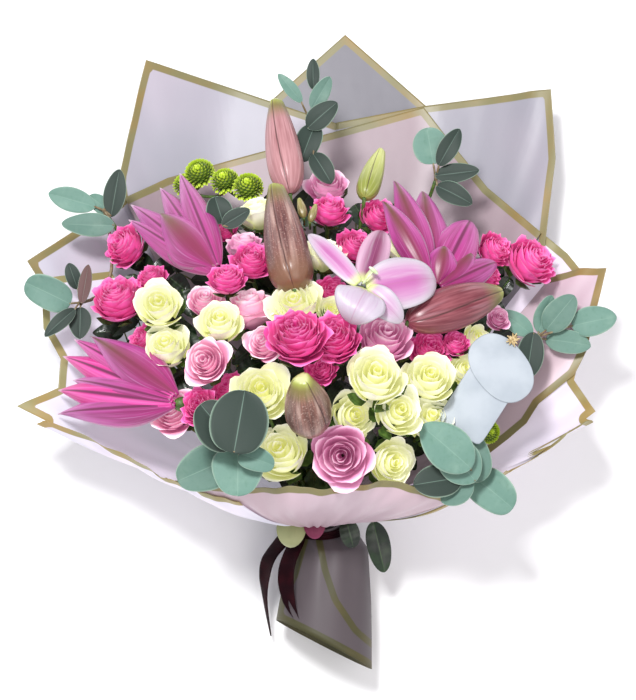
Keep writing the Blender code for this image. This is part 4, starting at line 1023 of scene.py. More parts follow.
def satin():
    """Dark wine satin: fine threads across it that give long soft highlights."""
    skin = Skin("Wine satin ribbon, woven", Roughness=0.55, Anisotropic=0.3, Specular_IOR_Level=0.06)
    colour = skin.mix(skin.grain(18.0), colours().ribbon, "28060D", 0.4, 0.8)
    # Real threads are 0.15 mm apart; they are drawn four times as coarse, so that they show
    return skin.finish(colour, skin.ribs(40.0), 0.3, 0.06)


MADE = {}


def material_of(maker):
    """The material of a maker, made once."""
    if maker not in MADE:
        MADE[maker] = maker()
    return MADE[maker]


# Roses

# Petal habits: rims' roll, ruffle and point, radius of the heart, and height of the outermost rims
HABITS = {
    "white_rose": (0.08, 0.022, 0.02, 0.05, 0.24),
    "mauve_rose": (0.13, 0.012, 0.07, 0.05, 0.08),
    "pink_rose": (0.10, 0.075, 0.00, 0.08, 0.02),
}

# Radians from one petal of a spiral to the next, and how far the outer petals spread past the node
HEART_TURN = 2.39996
BLOOM_FULLNESS = 1.12

# The turn of the petals is counted from this way
BLOOM_HINT = Vector((0.0, 1.0, 0.2))

# The green cup under a rose: height and radius of its sections, over the rose's radius
CUP = ((-0.82, 0.02), (-0.80, 0.10), (-0.70, 0.20), (-0.56, 0.26), (-0.46, 0.12))


def add_rose(patches, centre, look, radius, turn, habit, count, seed):
    """A rose from its heart out: broad cupped petals laid in a spiral, with their rims rolled back."""
    roll, ruffle, point, heart, outer_rim = habit
    rng = np.random.default_rng(seed)
    radius = radius * BLOOM_FULLNESS
    centre, look, first, second = array(centre, look, *frame_along(look, BLOOM_HINT))
    across, along = patch_places(13, 11)
    along = along ** 0.75
    for petal in range(count):
        share = (petal + 0.5) / count
        middle = turn + petal * HEART_TURN + rng.uniform(-0.25, 0.25)
        lip = (heart + (0.93 - heart) * share ** 0.95) * rng.uniform(0.96, 1.04)
        crown = 0.60 + (outer_rim - 0.60) * share ** 2.4 + rng.uniform(-0.03, 0.03)
        half_turn = radians(58.0 + 95.0 * (1.0 - share) ** 2)
        droop = 0.10 + 0.42 * share
        reach = along * (1.0 - droop * np.abs(across) ** 2.6 + point * (1.0 - np.abs(across)) ** 2)
        held = np.sin(pi * (0.10 + 0.58 * np.clip(reach, 0.0, 1.1)))
        flared = 0.34 + 0.66 * np.clip(reach, 0.0, 1.1) ** 0.75
        size = lip * (held * 1.10 * (1.0 - share) + (0.35 * held + 0.68 * flared) * share)
        rise = -0.62 + (crown + 0.62) * reach
        over = np.clip((reach - 0.72) / 0.28, 0.0, 1.2) ** 2
        size = size + roll * over * (0.25 + 0.75 * share)
        rise = rise - 0.9 * roll * over * share
        phase = rng.uniform(0.0, 6.0, 3)
        wave = 0.070 * share * np.sin(2.8 * across + phase[0]) * reach ** 2
        wave = wave + 0.035 * (0.3 + share) * np.sin(5.3 * across + 4.0 * reach + phase[1]) * reach
        wave = wave + ruffle * np.sin(8.0 * across + phase[1]) * reach ** 4 * (0.5 + share)
        wave = wave + 0.5 * ruffle * np.sin(17.0 * across + phase[2]) * reach ** 6
        size = size + wave + 0.05 * share * across * reach
        rise = rise + 0.7 * wave
        angle = middle + across * half_turn * (0.50 + 0.50 * np.sin(0.5 * pi * along))
        side = round_way(first, second, angle)
        grid = centre + radius * (side * size[..., None] + look * rise[..., None])
        patches.add(grid, along=reach, across=across, tone=share)
    add_sepals(patches, centre, look, first, second, radius, turn)


def add_sepals(patches, centre, look, first, second, radius, turn):
    """The green cup under a rose and its five sepals."""
    across, along = patch_places(3, 5)
    for sepal in range(5):
        angle = turn + 2.0 * pi * sepal / 5.0 + across * 0.42 * np.sin(pi * (0.22 + 0.78 * along))
        size = 0.10 + 0.80 * np.sin(0.5 * pi * along) + 0.0 * across
        rise = -0.74 + 0.50 * along ** 1.6 + 0.0 * across
        out = round_way(first, second, angle) * size[..., None]
        patches.add(centre + radius * (out + look * rise[..., None]), along=along, slot=1)
    ring = round_way(first, second, 2.0 * pi * np.arange(8) / 8.0)
    cup = [centre + radius * (ring * size + look * rise) for rise, size in CUP]
    patches.add(cup, slot=1, closed=True)


def add_mum(patches, centre, look, radius, count, seed):
    """A button chrysanthemum: short incurved rays all over a flattened ball."""
    rng = np.random.default_rng(seed)
    centre, look, first, second = array(centre, look, *frame_along(look, BLOOM_HINT))
    across, along = patch_places(3, 5)
    for ray in range(count):
        share = (ray + 0.5) / count
        fall = radians(4.0 + 112.0 * share ** 0.62) + rng.uniform(-0.03, 0.03)
        turn = ray * HEART_TURN
        out = look * cos(fall) + (first * cos(turn) + second * sin(turn)) * sin(fall)
        side = np.cross(look, out)
        side = side / np.linalg.norm(side)
        bend = np.cross(out, side)
        wide = 0.10 * np.sin(pi * (0.15 + 0.70 * along)) + 0.0 * across
        reach = 0.66 + 0.28 * along + 0.0 * across
        curl = 0.14 * (along ** 2) * (1.0 if share < 0.75 else -0.5) + 0.05 * across ** 2
        grid = centre + radius * (
            out * reach[..., None] * (0.74 + 0.26 * abs(sin(fall)))
            + side * (wide * across)[..., None] + bend * curl[..., None])
        patches.add(grid, along=along, across=across, tone=share)
    ring = round_way(first, second, 2.0 * pi * np.arange(12) / 12.0)
    core = []
    for level in range(7):
        fall = pi * level / 6.0
        out = look * cos(fall) + ring * sin(fall)
        core.append(centre + out * radius * (0.50 + 0.16 * abs(sin(fall))))
    # The core's along value of 0.1 gives it the rays' painted shade colour
    patches.add(core, along=0.1, tone=0.5, closed=True)


# Blooms press into each other: each is drawn this share of the way back to the face of the mound,
# by PRESS_LIMIT at the most, and below RIM_UP, by the front sheet, no higher than it settled
PRESS = 0.5
PRESS_LIMIT = 10.0
RIM_UP = -90.0

# Roses that lean to the back and show their side, those drawn smaller so that the front sheet covers
# their lower petals, and those moved a little, all by their place on the plan
SIDE_ON = {
    (24, -108): -0.4, (-66, 46): 1.3, (8, 93): 1.2, (-71, 106): 0.8, (-58, 136): 0.7, (-96, 24): 0.35,
    (-88, 65): 0.5}
TRIM = {(24, -108): 0.86, (-144, -60): 0.95}
NUDGES = {(24, -108): Vector((0.0, 6.0, -3.0))}

# Mauve roses that are paler than the rest
DUSTY = ("rose_mauve_left", "rose_mauve_left_front", "roses_mauve_centre", "rose_mauve_left_back")

# Lower ends of the blooms, lilies, buds and sprigs, as they are built
STEM_ENDS = []


def pressed(place, lift):
    """A settled bloom's place, moved along the line of sight towards the face of the mound."""
    right, up = seen(place)
    move = PRESS * (mound(right, up) + lift - place.z)
    highest = PRESS_LIMIT if up > RIM_UP else 0.0
    return spot(right, up, place.z + min(max(move, -PRESS_LIMIT), highest))


def build_blooms(bodies):
    """Every rose and chrysanthemum, in a piece for each node, with the twigs that join a spray."""
    kinds = {
        "white_rose": (cream_petals, sizes().cream_petals),
        "mauve_rose": (mauve_petals, sizes().mauve_petals),
        "pink_rose": (hot_pink_petals, sizes().pink_petals),
        "button_mum": (green_rays, sizes().mum_rays),
    }
    pieces = {}
    for body, (piece, kind, right, up, radius, lift) in zip(bodies, BLOOM_ROWS):
        plan = (right, up)
        place = pressed(body["place"], lift) + NUDGES.get(plan, Vector())
        radius = radius * BLOOM_SCALE * TRIM.get(plan, 1.0)
        pieces.setdefault((piece, kind), []).append((place, radius, SIDE_ON.get(plan, 0.0)))
    seed = 0
    for (piece, kind), members in pieces.items():
        maker, count = kinds[kind]
        patches = Patches()
        roots = []
        for place, radius, lean in sorted(members, key=lambda member: (member[0] - NECK).length):
            seed += 1
            nod = 0.22 * Vector((sin(7.1 * seed), cos(5.3 * seed), 0.0))
            look = (facing(place) + Vector((0.0, lean, 0.0)) + nod).normalized()
            if kind == "button_mum":
                add_mum(patches, place, look, radius, count, seed)
            else:
                add_rose(patches, place, look, radius, seed * 0.7, HABITS[kind], count, seed)
            root = place - look * radius * 0.6
            if roots:
                nearest = min(roots, key=lambda other: (other - root).length)
                low = nearest.lerp(root, 0.5) - look * TWIG_SAG * (nearest - root).length
                add_tube(patches, curve_between(nearest, low, root, 8), [1.7] * 8, 6, slot=1)
            else:
                STEM_ENDS.append(root)
            roots.append(root)
        petals = dusty_petals if piece in DUSTY else maker
        patches.build(piece + "_petals", [petals, green_stem], piece)


# Lilies and buds

# How the petals of a lily are held: cup, curl of the tip, wave of the margin and roundness
CLOSED_SHAPE = (-0.70, 0.22, 0.014, 1.15)
OUTER_TAPER = 0.6
LILY_SHAPES = {
    "lily_back_right": (-0.55, 0.50, 0.035, 1.10),
    "lily_open": (-0.14, 0.25, 0.035, 0.58),
}

# The open lily's petals as they curl
OPEN_PETALS = [
    (-13, 117, 44, 40, 64, 28, 10),
    (64, 124, 40, 47, 68, 32, 8),
    (124, 72, 44, 46, 60, 46, 12),
    (28, 22, 30, 46, 60, 46, 26),
    (84, 26, 30, 58, 56, 30, 8),
]

# Each petal's width, over that of the node, and its tone: below zero the hot pink inner side, towards
# one the olive and maroon outer side; of the open lily from a deep flush to plain white
PETAL_LOOKS = {
    "lily_back_left": [(1.35, 0.0), (1.35, 0.1), (1.40, 0.0), (1.30, -0.2), (1.50, 1.0)],
    "lily_left": [(1.40, 0.8), (1.45, -0.5), (1.35, -1.0), (1.40, -0.1), (1.35, -0.9), (1.35, 0.4)],
    "lily_back_right": [
        (1.35, 0.85), (1.35, 0.95), (1.55, 0.8), (1.40, -0.2), (1.30, 0.85), (1.30, 0.5), (1.40, 1.0)],
    "lily_open": [(0.72, 0.40), (0.95, 0.0), (1.12, 0.30), (1.12, 0.80), (0.95, 0.65)],
}

# Stamens of a lily: right, up and lift of their tips
STAMENS = {
    "lily_left": [(-241, -40, 13), (-212, -14, 14), (-206, -18, 13)],
    "lily_open": [(54, 78, 54)],
}


def add_lily_petal(patches, base, tip, width, bow, seed, shape, tone):
    """A lily petal: a long blade with a ribbed middle, a waved margin and a tip that curls back."""
    cup, curl, wave, roundness = shape
    phase = np.random.default_rng(seed).uniform(0.0, 6.0)
    up, side = frame_along(tip - base)
    middle = base + (tip - base) * 0.5 + up * bow
    across = np.linspace(-1.0, 1.0, 17)
    rim = np.abs(across)
    steps = 34
    grid = []
    for step in range(steps + 1):
        share = step / steps
        centre = bezier(base, middle, tip, share)
        ahead = bezier(base, middle, tip, share + 0.02) - bezier(base, middle, tip, share - 0.02)
        normal, wide = frame_along(ahead, up)
        fullness = sin(pi * (0.07 + 0.93 * share ** 0.86)) ** roundness
        half = max(0.5 * width * fullness, 0.12)
        bend = max(0.0, share - 0.66) / 0.34
        centre = centre - normal * curl * width * bend ** 2
        rise = cup * half * across ** 2
        rise = rise + wave * width * np.sin(9.0 * share + phase + 1.8 * across) * rim ** 3 * fullness
        rise = rise + 0.5 * np.exp(-(across / 0.05) ** 2) * fullness
        rise = rise - 0.6 * np.exp(-((rim - 0.13) / 0.06) ** 2) * fullness
        grid.append([tuple(centre + wide * half * a + normal * b) for a, b in zip(across, rise)])
    along = np.linspace(0.0, 1.0, steps + 1)[:, None]
    patches.add(grid, along=along, across=across[None, :], tone=tone)


def add_stamen(patches, heart, tip, anther_slot):
    """A thin filament that bows up to its tip, with an anther across it."""
    rise = (tip - heart).length * 0.12
    path = curve_between(heart, heart.lerp(tip, 0.5) + UP * rise, tip, 9)
    add_tube(patches, path, [0.9, 0.8, 0.8, 0.7, 0.7, 0.6, 0.6, 0.5, 0.4], 6, slot=2)
    across = (tip - heart).cross(UP).normalized()
    ends = [tip - across * 5.0, tip - across * 2.5, tip + UP * 0.6, tip + across * 2.5, tip + across * 5.0]
    add_tube(patches, ends, [0.6, 1.4, 1.6, 1.4, 0.6], 6, slot=anther_slot)


def build_lilies(bodies):
    """Every lily, in a piece for each, with its stamens and the green neck that holds its petals."""
    for number, (body, (name, (heart, petals))) in enumerate(zip(bodies, LILIES.items())):
        core = body["place"]
        shift = core - on_mound(*heart)
        look = facing(core, LILY_OUTWARD)
        is_open = name == "lily_open"
        shape = LILY_SHAPES.get(name, CLOSED_SHAPE)
        patches = Patches()
        for index, petal in enumerate(OPEN_PETALS if is_open else petals):
            base, tip = petal_ends(heart, petal)
            root = core + (base + shift - core).normalized() * LILY_HEART * 0.45
            wider, tone = PETAL_LOOKS[name][index]
            held = shape if is_open else shape[:3] + (shape[3] + OUTER_TAPER * max(tone, 0.0),)
            seed = number * 10 + index
            add_lily_petal(patches, root, tip + shift, petal[5] * wider, petal[6], seed, held, tone)
        neck = [core - look * back for back in (26.0, 16.0, 8.0, 3.0)]
        add_tube(patches, neck, [3.0, 5.5, 7.0, 3.0], 12, slot=1)
        STEM_ENDS.append(neck[0])
        for right, up, lift in STAMENS.get(name, []):
            end = on_mound(right, up, lift)
            hidden = core + look * 4.0 if is_open else core.lerp(end + shift, 0.8)
            add_stamen(patches, hidden, end + shift, 2 if is_open else 3)
        makers = [open_lily_petals if is_open else lily_petals, green_stem, pale_filament, anther]
        patches.build(name + "_petals", makers, name, sizes().petal_thickness)


# Buds as they are drawn: how far up they are widest, where their seams lie round them, as a share of the
# turn between two seams, tone from pale, a lit copy of the rosy skin as painted light, through rosy and
# brown to green, thickness over that of the node, and how far the base sinks between the roses
BUD_LOOKS = {
    "bud_back": (0.30, 0.56, -1.6, 0.92, 14.0),
    "bud_middle": (0.18, 0.56, 0.0, 0.97, 42.0),
    "bud_front": (0.34, 0.10, 0.1, 0.97, 0.0),
    "bud_right": (0.46, 0.30, -1.0, 0.97, 16.0),
    "bud_green": (0.24, 0.50, 1.0, 0.86, 0.0),
}

# Two tiny pale buds by the middle one: right, up and lift of the base and of the tip, and radius
TINY_BUDS = [((-12, 132, 24), (-17, 152, 44), 4.5), ((-6, 128, 24), (0, 146, 42), 4.0)]


def add_bud(patches, base, tip, radius, tone, phase, shoulder=0.36):
    """A closed bud: three broad petals folded round each other, parted by dark seams."""
    base, tip, up, side = array(base, tip, *frame_along(tip - base))
    turn = np.linspace(0.0, 2.0 * pi, 96, endpoint=False)[None, :]
    share = np.linspace(0.0, 1.0, 61)[:, None]
    low = np.clip(share / shoulder, 0.0, 1.0)
    high = np.clip((share - shoulder) / (1.0 - shoulder), 0.0, 1.0)
    full = np.sqrt(np.maximum(1.0 - (1.0 - low) ** 2, 0.0)) * 0.92 + 0.08
    full = np.where(share > shoulder, 1.0 - 0.70 * high ** 1.9, full)
    full = full * np.sqrt(np.clip((1.0 - share) / 0.035, 0.0, 1.0))
    twist = (turn + 0.35 * share) * 3.0 / (2.0 * pi) + phase
    place = np.abs((twist % 1.0) - 0.5)
    seam = np.exp(-(place / 0.030) ** 2)
    rib = np.exp(-((place - 0.5) / 0.09) ** 2)
    tips = 0.16 * high ** 5 * np.cos(2.0 * pi * twist)
    size = radius * full * (1.0 - 0.10 * seam + 0.05 * rib - tips)
    grid = base + (tip - base) * share[..., None] + round_way(up, side, turn) * size[..., None]
    fold = np.abs((turn / (2.0 * pi) * 6.0) % 2.0 - 1.0)
    patches.add(grid, along=share, across=seam, tone=tone, edge=fold, closed=True)


def build_buds(bodies):
    """The lily buds, a piece for each, and the tiny ones in one piece."""
    for body, (name, row) in zip(bodies, BUDS.items()):
        shoulder, phase, tone, thick, sink = BUD_LOOKS[name]
        base, tip, radius = bud_ends(row)
        shift = body["place"] - base
        base, tip = base + shift, tip + shift
        base = spot(*seen(base), base.z - sink)
        patches = Patches()
        add_bud(patches, base, tip, radius * thick, tone, phase, shoulder)
        STEM_ENDS.append(base)
        patches.build(name + "_skin", [bud_skin], name)
    patches = Patches()
    for base, tip, radius in TINY_BUDS:
        base, tip = on_mound(*base), on_mound(*tip)
        add_bud(patches, base, tip, radius, 0.45, 0.2)
        add_tube(patches, [base - UP * 30.0, base - UP * 12.0, base], [1.2, 1.2, 1.6], 8, slot=1)
    patches.build("tiny_buds", [bud_skin, green_stem])


# Eucalyptus and rose leaves

# The one brown leaf, and the leaves darkened as painted shade, by piece and number
BROWN_LEAF = ("eucalyptus_left", 6)
SHADED_LEAVES = {
    "eucalyptus_left": (1, 5, 7, 8),
    "eucalyptus_front_left": (0, 1),
    "eucalyptus_front_right": (4,),
    "eucalyptus_right": (5,),
    "eucalyptus_back_right": (1, 2, 3),
    "eucalyptus_back": (0, 3, 4, 5),
    "eucalyptus_behind_lily": (0, 1),
}


def add_leaf(patches, centre, half_length, half_width, leaf_way, root, seed, tone, tip=0.0):
    """A leaf: an oval blade, folded a little along its rib, bent and twisted, on a thin stalk."""
    rng = np.random.default_rng(seed)
    middle, along_way, rise_way, side_way = array(centre, *leaf_way)
    across, share = patch_places(13, 21)
    angle = pi * (1.0 - share)
    place = np.cos(angle)
    power, wider = (0.78, 1.0) if half_width > 0.65 * half_length else (1.12, 1.14)
    wide = np.sin(angle) ** power * half_width * wider
    wide = wide * (1.0 + (tip - 0.10) * place + 0.03 * np.sin(9.0 * share + seed))
    bend, twist = rng.uniform(-0.26, 0.12), rng.uniform(-0.40, 0.40)
    rise = LEAF_FOLD * wide * np.abs(across) + bend * half_length * place ** 2
    rise = rise + twist * wide * across * (0.3 + place)
    rise = rise + 0.035 * half_width * np.sin(8.0 * share + 2.0 * across + seed) * across ** 2
    rise = rise - 0.4 * np.exp(-(across / 0.08) ** 2)
    length = place * half_length + 0.0 * across
    grid = (
        middle + along_way * length[..., None] + side_way * (wide * across)[..., None]
        + rise_way * rise[..., None])
    patches.add(grid, along=share, across=across, tone=tone)
    start = Vector(middle - along_way * half_length * 0.96 + rise_way * bend * half_length)
    stalk = curve_between(start, start.lerp(root, 0.5) + UP * 1.5, root, 7)
    add_tube(patches, stalk, [0.6, 0.7, 0.8, 0.8, 0.9, 0.9, 1.0], 6, slot=1)


def build_eucalyptus(bodies):
    """Every sprig of eucalyptus: leaves round their joints, and the twigs between the joints."""
    places = iter([body["place"] for body in bodies])
    for name, twigs in SPRIGS.items():
        patches = Patches()
        joints = []
        number = 0
        for joint, leaves in twigs:
            hub = next(places)
            joints.append(hub)
            low = hub - UP * STALK_SPACING * len(leaves)
            add_tube(patches, [low, hub.lerp(low, 0.5), hub + UP * 1.5], [1.8, 1.9, 1.4], 8, slot=1)
            settled_places = [next(places) for leaf in leaves]
            for leaf, place in zip(leaves, settled_places):
                rank = sum(1 for other in settled_places if other.z > place.z)
                root = hub - UP * STALK_SPACING * rank
                tone = 0.95 if number in SHADED_LEAVES[name] else 0.14 * (number % 3)
                if (name, number) == BROWN_LEAF:
                    tone = 2.0
                way = leaf_frame(radians(leaf[4]))
                add_leaf(patches, place, leaf[2], leaf[3], way, root, number + len(name), tone)
                number += 1
        STEM_ENDS.append(joints[0] - UP * 6.0)
        for joint in joints[1:]:
            middle = joints[0].lerp(joint, 0.5).lerp(NECK, 0.16)
            path = curve_between(joints[0] - UP * 4.0, middle, joint - UP * 4.0, 10)
            add_tube(patches, path, [1.4] * 10, 8, slot=1)
        patches.build(name + "_leaves", [eucalyptus_leaf, brown_twig], name, sizes().leaf_thickness)


# Under the front rim: leaves (right, up, height, half length, half width, turn) and fallen petals
RIM_LEAVES = [(34, -184, 84, 15, 10, 285), (63, -197, 66, 27, 11, 283)]
RIM_PETALS = [
    ("petal_under_rim_cream", shaded_cream_petal, (-24, -164, 92), (-26, -199, 90), 30.0),
    ("petal_under_rim_pink", shaded_pink_petal, (-2, -164, 92), (-1, -190, 92), 22.0),
]

# Rose foliage deep between the blooms: how far apart the leaves are and how far below the face of
# the mound, and the middle and half sizes of the oval on the plan that they fill
FOLIAGE_STEP = 25.0
FOLIAGE_DEPTH = 54.0
FOLIAGE_MIDDLE = (-5.0, 12.0)
FOLIAGE_HALF = (205.0, 142.0)


def is_foliage(right, up):
    """True where rose leaves show between the blooms: not past their oval, nor by the left lily."""
    across = (right - FOLIAGE_MIDDLE[0]) / FOLIAGE_HALF[0]
    along = (up - FOLIAGE_MIDDLE[1]) / FOLIAGE_HALF[1]
    return across ** 2 + along ** 2 <= 1.0 and not (right < -95.0 and up < -45.0)


def build_foliage(bodies):
    """Rose leaves that fill the gaps between the blooms, below their faces, darkened as painted shade
    there.
    """
    rng = np.random.default_rng(41)
    patches = Patches()
    centres = np.array([tuple(body["place"]) for body in bodies])
    count = 0
    for row in range(-7, 9):
        for column in range(-9, 10):
            right = (column + 0.5 * (row % 2)) * FOLIAGE_STEP + rng.uniform(-6.0, 6.0)
            up = row * FOLIAGE_STEP * 0.86 + rng.uniform(-6.0, 6.0)
            if not is_foliage(right, up):
                continue
            place = spot(right, up, mound(right, up) - FOLIAGE_DEPTH + rng.uniform(-6.0, 6.0))
            if np.linalg.norm(centres - np.array(tuple(place)), axis=1).min() < 8.0:
                continue
            way = leaf_frame(rng.uniform(0.0, 2.0 * pi), radians(rng.uniform(-4.0, 26.0)))
            root = place + (NECK - place).normalized() * 30.0
            count += 1
            half_length, half_width = rng.uniform(15.0, 20.0), rng.uniform(7.5, 10.0)
            add_leaf(patches, place, half_length, half_width, way, root, count, 0.0, tip=-0.25)
    for right, up, height, half_length, half_width, degrees in RIM_LEAVES:
        place = spot(right, up, height)
        way = leaf_frame(radians(degrees), radians(-14.0))
        add_leaf(patches, place, half_length, half_width, way, place.lerp(NECK, 0.75), right, 0.0)
    patches.build("rose_leaves", [shaded_rose_leaf, green_stem])
    for name, maker, base, tip, width in RIM_PETALS:
        patches = Patches()
        add_lily_petal(patches, spot(*base), spot(*tip), width, 4.0, 3, (-0.3, 0.2, 0.04, 0.5), 0.6)
        patches.build(name, [maker])


# Film

# Film as it is drawn: thickness in metres, samples along each part of a rim, degrees between the
# columns of a sheet and how they are rounded, and rows from the neck to the rim
FILM_THICK = 0.0004
EDGE_SAMPLES = 24
COLUMN_STEP = 1.5
COLUMN_ROUNDING = 0.12
ROW_COUNT = 46

# Sheets: layer from the outside, tone, what the sheet lies on or is held by, then its rim corners as
# (right, up) on the plan, or as ("flare", angle, reach) where the film turns over the front.
# Tones paint light and shade: the lower the tone, the more painted shade, darkest on the back sheets; above
# one the sheet also glows, as painted light on the low front sheets that lie in shade
SHEETS = {
    "film_back_centre": (0, -1.0, ["film_back_left"], [(-44, 250), (29, 315), (112, 242)]),
    "film_back_left": (1, 0.2, ["film_back_right", "ribbon"], [
        (-196, 150), (-199, 170), (-171, 290), (-40, 246), (20, 226)]),
    "film_back_right": (2, -0.1, ["film_inner_pink", "ribbon"], [
        (20, 226), (109, 243), (237, 260), (241, 190), (229, 92)]),
    "film_inner_pink": (3.5, -0.35, ["film_back_right", "stems"], [
        (-194, 150), (-151, 170), (14, 215), (108, 241), (174, 160), (228, 115)]),
    "film_right_low": (1, 1.6, ["film_right", "ribbon"], [
        (231, 113), (252, 96), (267, 78), (269, 20), (258, -30), (281, -63), (234, -97), (189, -127),
        (144, -150)]),
    "film_right": (2, 0.3, ["film_right_low", "stems"], [
        (236, 72), (267, 79), (293, 80), (272, 0), (259, -25), (224, -55), (212, -75), (194, -90),
        (174, -105)]),
    "film_left_top": (-0.3, 0.8, ["film_left_low", "film_back_left"], [
        (-276, 70), (-288, 90), (-241, 120), (-170, 166)]),
    "film_left_low": (1, 1.7, ["film_back_left", "ribbon"], [
        (-206, 78), (-276, 71), (-274, 20), (-256, -10), (-258, -38), (-301, -57),
        (-228, -92), (-170, -118), ("flare", 222.0, 0.90), ("flare", 205.0, 0.84)]),
    "film_front": (2, 0.2, ["film_left_low", "film_right_low"], [
        ("flare", 244.0, 0.58), ("flare", 236.0, 0.82), ("flare", 222.0, 0.98), ("flare", 205.0, 1.0),
        ("flare", 180.0, 1.0), ("flare", 155.0, 1.0), ("flare", 136.0, 0.98)]),
}
PINK_SHEETS = ("film_inner_pink", "film_right", "film_front")

# Side edges that show their border, by the sheet's first or last column
BORDERED_SIDES = {"film_left_top": (0,), "film_right_low": (-1,)}

# Points of the nominal rim at every degree, worked out once
RIM_CURVE = []


def neck_ways(angle):
    """Unit vectors out from the neck's axis, for an array of angles."""
    turn = np.radians(angle)[..., None]
    back = np.array((0.0, sin(NECK_LEAN), -cos(NECK_LEAN)))
    return back * np.cos(turn) + np.array((1.0, 0.0, 0.0)) * np.sin(turn)


def rim_places(angle):
    """Points of the nominal rim, for an array of angles."""
    if not RIM_CURVE:
        RIM_CURVE.extend(tuple(rim_point(float(turn))) for turn in range(361))
    curve = np.array(RIM_CURVE)
    turn = np.mod(angle, 360.0)
    return np.stack([np.interp(turn, np.arange(361), curve[:, axis]) for axis in range(3)], axis=-1)


def flare_places(turn, share):
    """Points of the flared surface, for arrays of angles and shares of the way to the rim."""
    way = neck_ways(turn)
    near = np.array(tuple(NECK)) + way * NECK_RADIUS
    far = rim_places(turn)
    belly = FILM_BELLY + FILM_BACK_BELLY * np.maximum(0.0, np.cos(np.radians(turn))) ** 2
    middle = 0.5 * (near + far) + way * belly[..., None]
    share = share[..., None]
    rest = 1.0 - share
    point = near * rest ** 2 + middle * 2.0 * share * rest + far * share ** 2
    low = point[..., 2] < FILM_LANDING
    eased = np.maximum(point[..., 2] + FILM_LANDING, 0.0) ** 2 / (4.0 * FILM_LANDING)
    point[..., 2] = np.where(low, eased, point[..., 2])
    return point


def film_surface(angle, reach, inward):
    """Points of the flared surface, moved inward, softly waved, and pleated towards the neck."""
    around = flare_places(angle + 0.5, reach) - flare_places(angle - 0.5, reach)
    along = flare_places(angle, reach + 0.01) - flare_places(angle, reach - 0.01)
    normal = np.cross(around, along)
    normal /= np.linalg.norm(normal, axis=-1)[..., None]
    point = flare_places(angle, reach)
    wave = np.sin(0.21 * angle + 6.0 * reach) + 0.6 * np.sin(0.47 * angle - 5.0 * reach + 1.0)
    wave = wave + 0.35 * np.sin(0.93 * angle + 9.0 * reach)
    free = np.clip((point[..., 2] - 14.0) / 30.0, 0.0, 1.0)
    height = sizes().film_wave / MM
    pleat = 1.6 * np.clip(1.0 - reach, 0.0, 1.0) ** 1.5 * np.sin(0.8 * angle)
    pleat = pleat * np.clip(8.0 * reach, 0.0, 1.0)
    shift = inward + free * (height * reach ** 1.5 * wave + pleat)
    return point + normal * shift[..., None]


def rim_outline(corners):
    """Angles and rim reaches of a sheet, with a column at each corner and at even steps between."""
    angles, reaches = [], []
    corner_angles = []
    for start, end in zip(corners, corners[1:]):
        for sample in range(EDGE_SAMPLES + 1):
            share = sample / EDGE_SAMPLES
            if "flare" in (start[0], end[0]):
                a = start[1:] if start[0] == "flare" else on_flare(*start)
                b = end[1:] if end[0] == "flare" else on_flare(*end)
                angle = a[0] + (wrapped(b[0], a[0]) - a[0]) * share
                reach = a[1] + (b[1] - a[1]) * share
            else:
                angle, reach = on_flare(*[p + (q - p) * share for p, q in zip(start, end)])
            if angles:
                angle = wrapped(angle, angles[-1])
            angles.append(angle)
            reaches.append(reach)
        corner_angles.append(angles[-1])
    corner_angles.append(angles[0])
    if angles[-1] < angles[0]:
        angles.reverse()
        reaches.reverse()
    angles = np.maximum.accumulate(np.array(angles) + 1e-6 * np.arange(len(angles)))
    steps = np.arange(angles[0], angles[-1], COLUMN_STEP)
    between = np.unique(np.round(np.concatenate([steps, angles]) / COLUMN_ROUNDING)) * COLUMN_ROUNDING
    exact = np.array(corner_angles + [angles[0], angles[-1]])
    clear = np.abs(between[:, None] - exact[None, :]).min(axis=1) > 0.6 * COLUMN_ROUNDING
    columns = np.unique(np.concatenate([between[clear], exact]))
    columns = columns[(columns >= angles[0]) & (columns <= angles[-1])]
    return columns, np.interp(columns, angles, reaches)


def edge_distance(grid, sides):
    """Distance in millimetres of every point of a sheet from its rim and its bordered sides."""
    lines = [grid[:, -1]] + [grid[side] for side in sides]
    share = np.linspace(0.0, 1.0, 6)[:-1, None, None]
    dense = [(line[:-1] + (line[1:] - line[:-1]) * share).reshape(-1, 3) for line in lines]
    border = np.concatenate(lines + dense)
    flat = grid.reshape(-1, 3)
    nearest = np.full(len(flat), 1e9)
    for start in range(0, len(border), 400):
        part = border[start:start + 400]
        gap = np.linalg.norm(flat[:, None, :] - part[None, :, :], axis=2).min(axis=1)
        nearest = np.minimum(nearest, gap)
    return nearest.reshape(grid.shape[:2])


def declare_sheet(sheet, length=None, width=None):
    """The cut size of a free sheet, from the side that is given and its area over that side; the sizes are
    worked out and not used.
    """
    area = sum(face.area for face in sheet.data.polygons)
    width = width or area / length
    length = length or area / width


def build_film():
    """Every sheet of film, waved towards its rim, with its distance from the cut edges."""
    for name, (layer, tone, rests, corners) in SHEETS.items():
        columns, rims = rim_outline(corners)
        share = 1.0 - (1.0 - np.linspace(0.0, 1.0, ROW_COUNT)) ** 1.35
        angle = np.repeat(columns[:, None], ROW_COUNT, axis=1)
        reach = rims[:, None] * share[None, :]
        grid = film_surface(angle, reach, layer * FILM_PITCH + 0.5 * FILM)
        patches = Patches()
        edge = edge_distance(grid, BORDERED_SIDES.get(name, ()))
        patches.add(grid, along=reach, across=angle / 360.0, tone=tone, edge=edge)
        maker = pink_film if name in PINK_SHEETS else lilac_film
        sheet = patches.build(name + "_sheet", [maker], name, FILM_THICK)
        lengths = np.linalg.norm(grid[:, 1:] - grid[:, :-1], axis=2).sum(axis=1)
        declare_sheet(sheet, length=float(lengths.mean()) * MM)


# Foot of the wrap

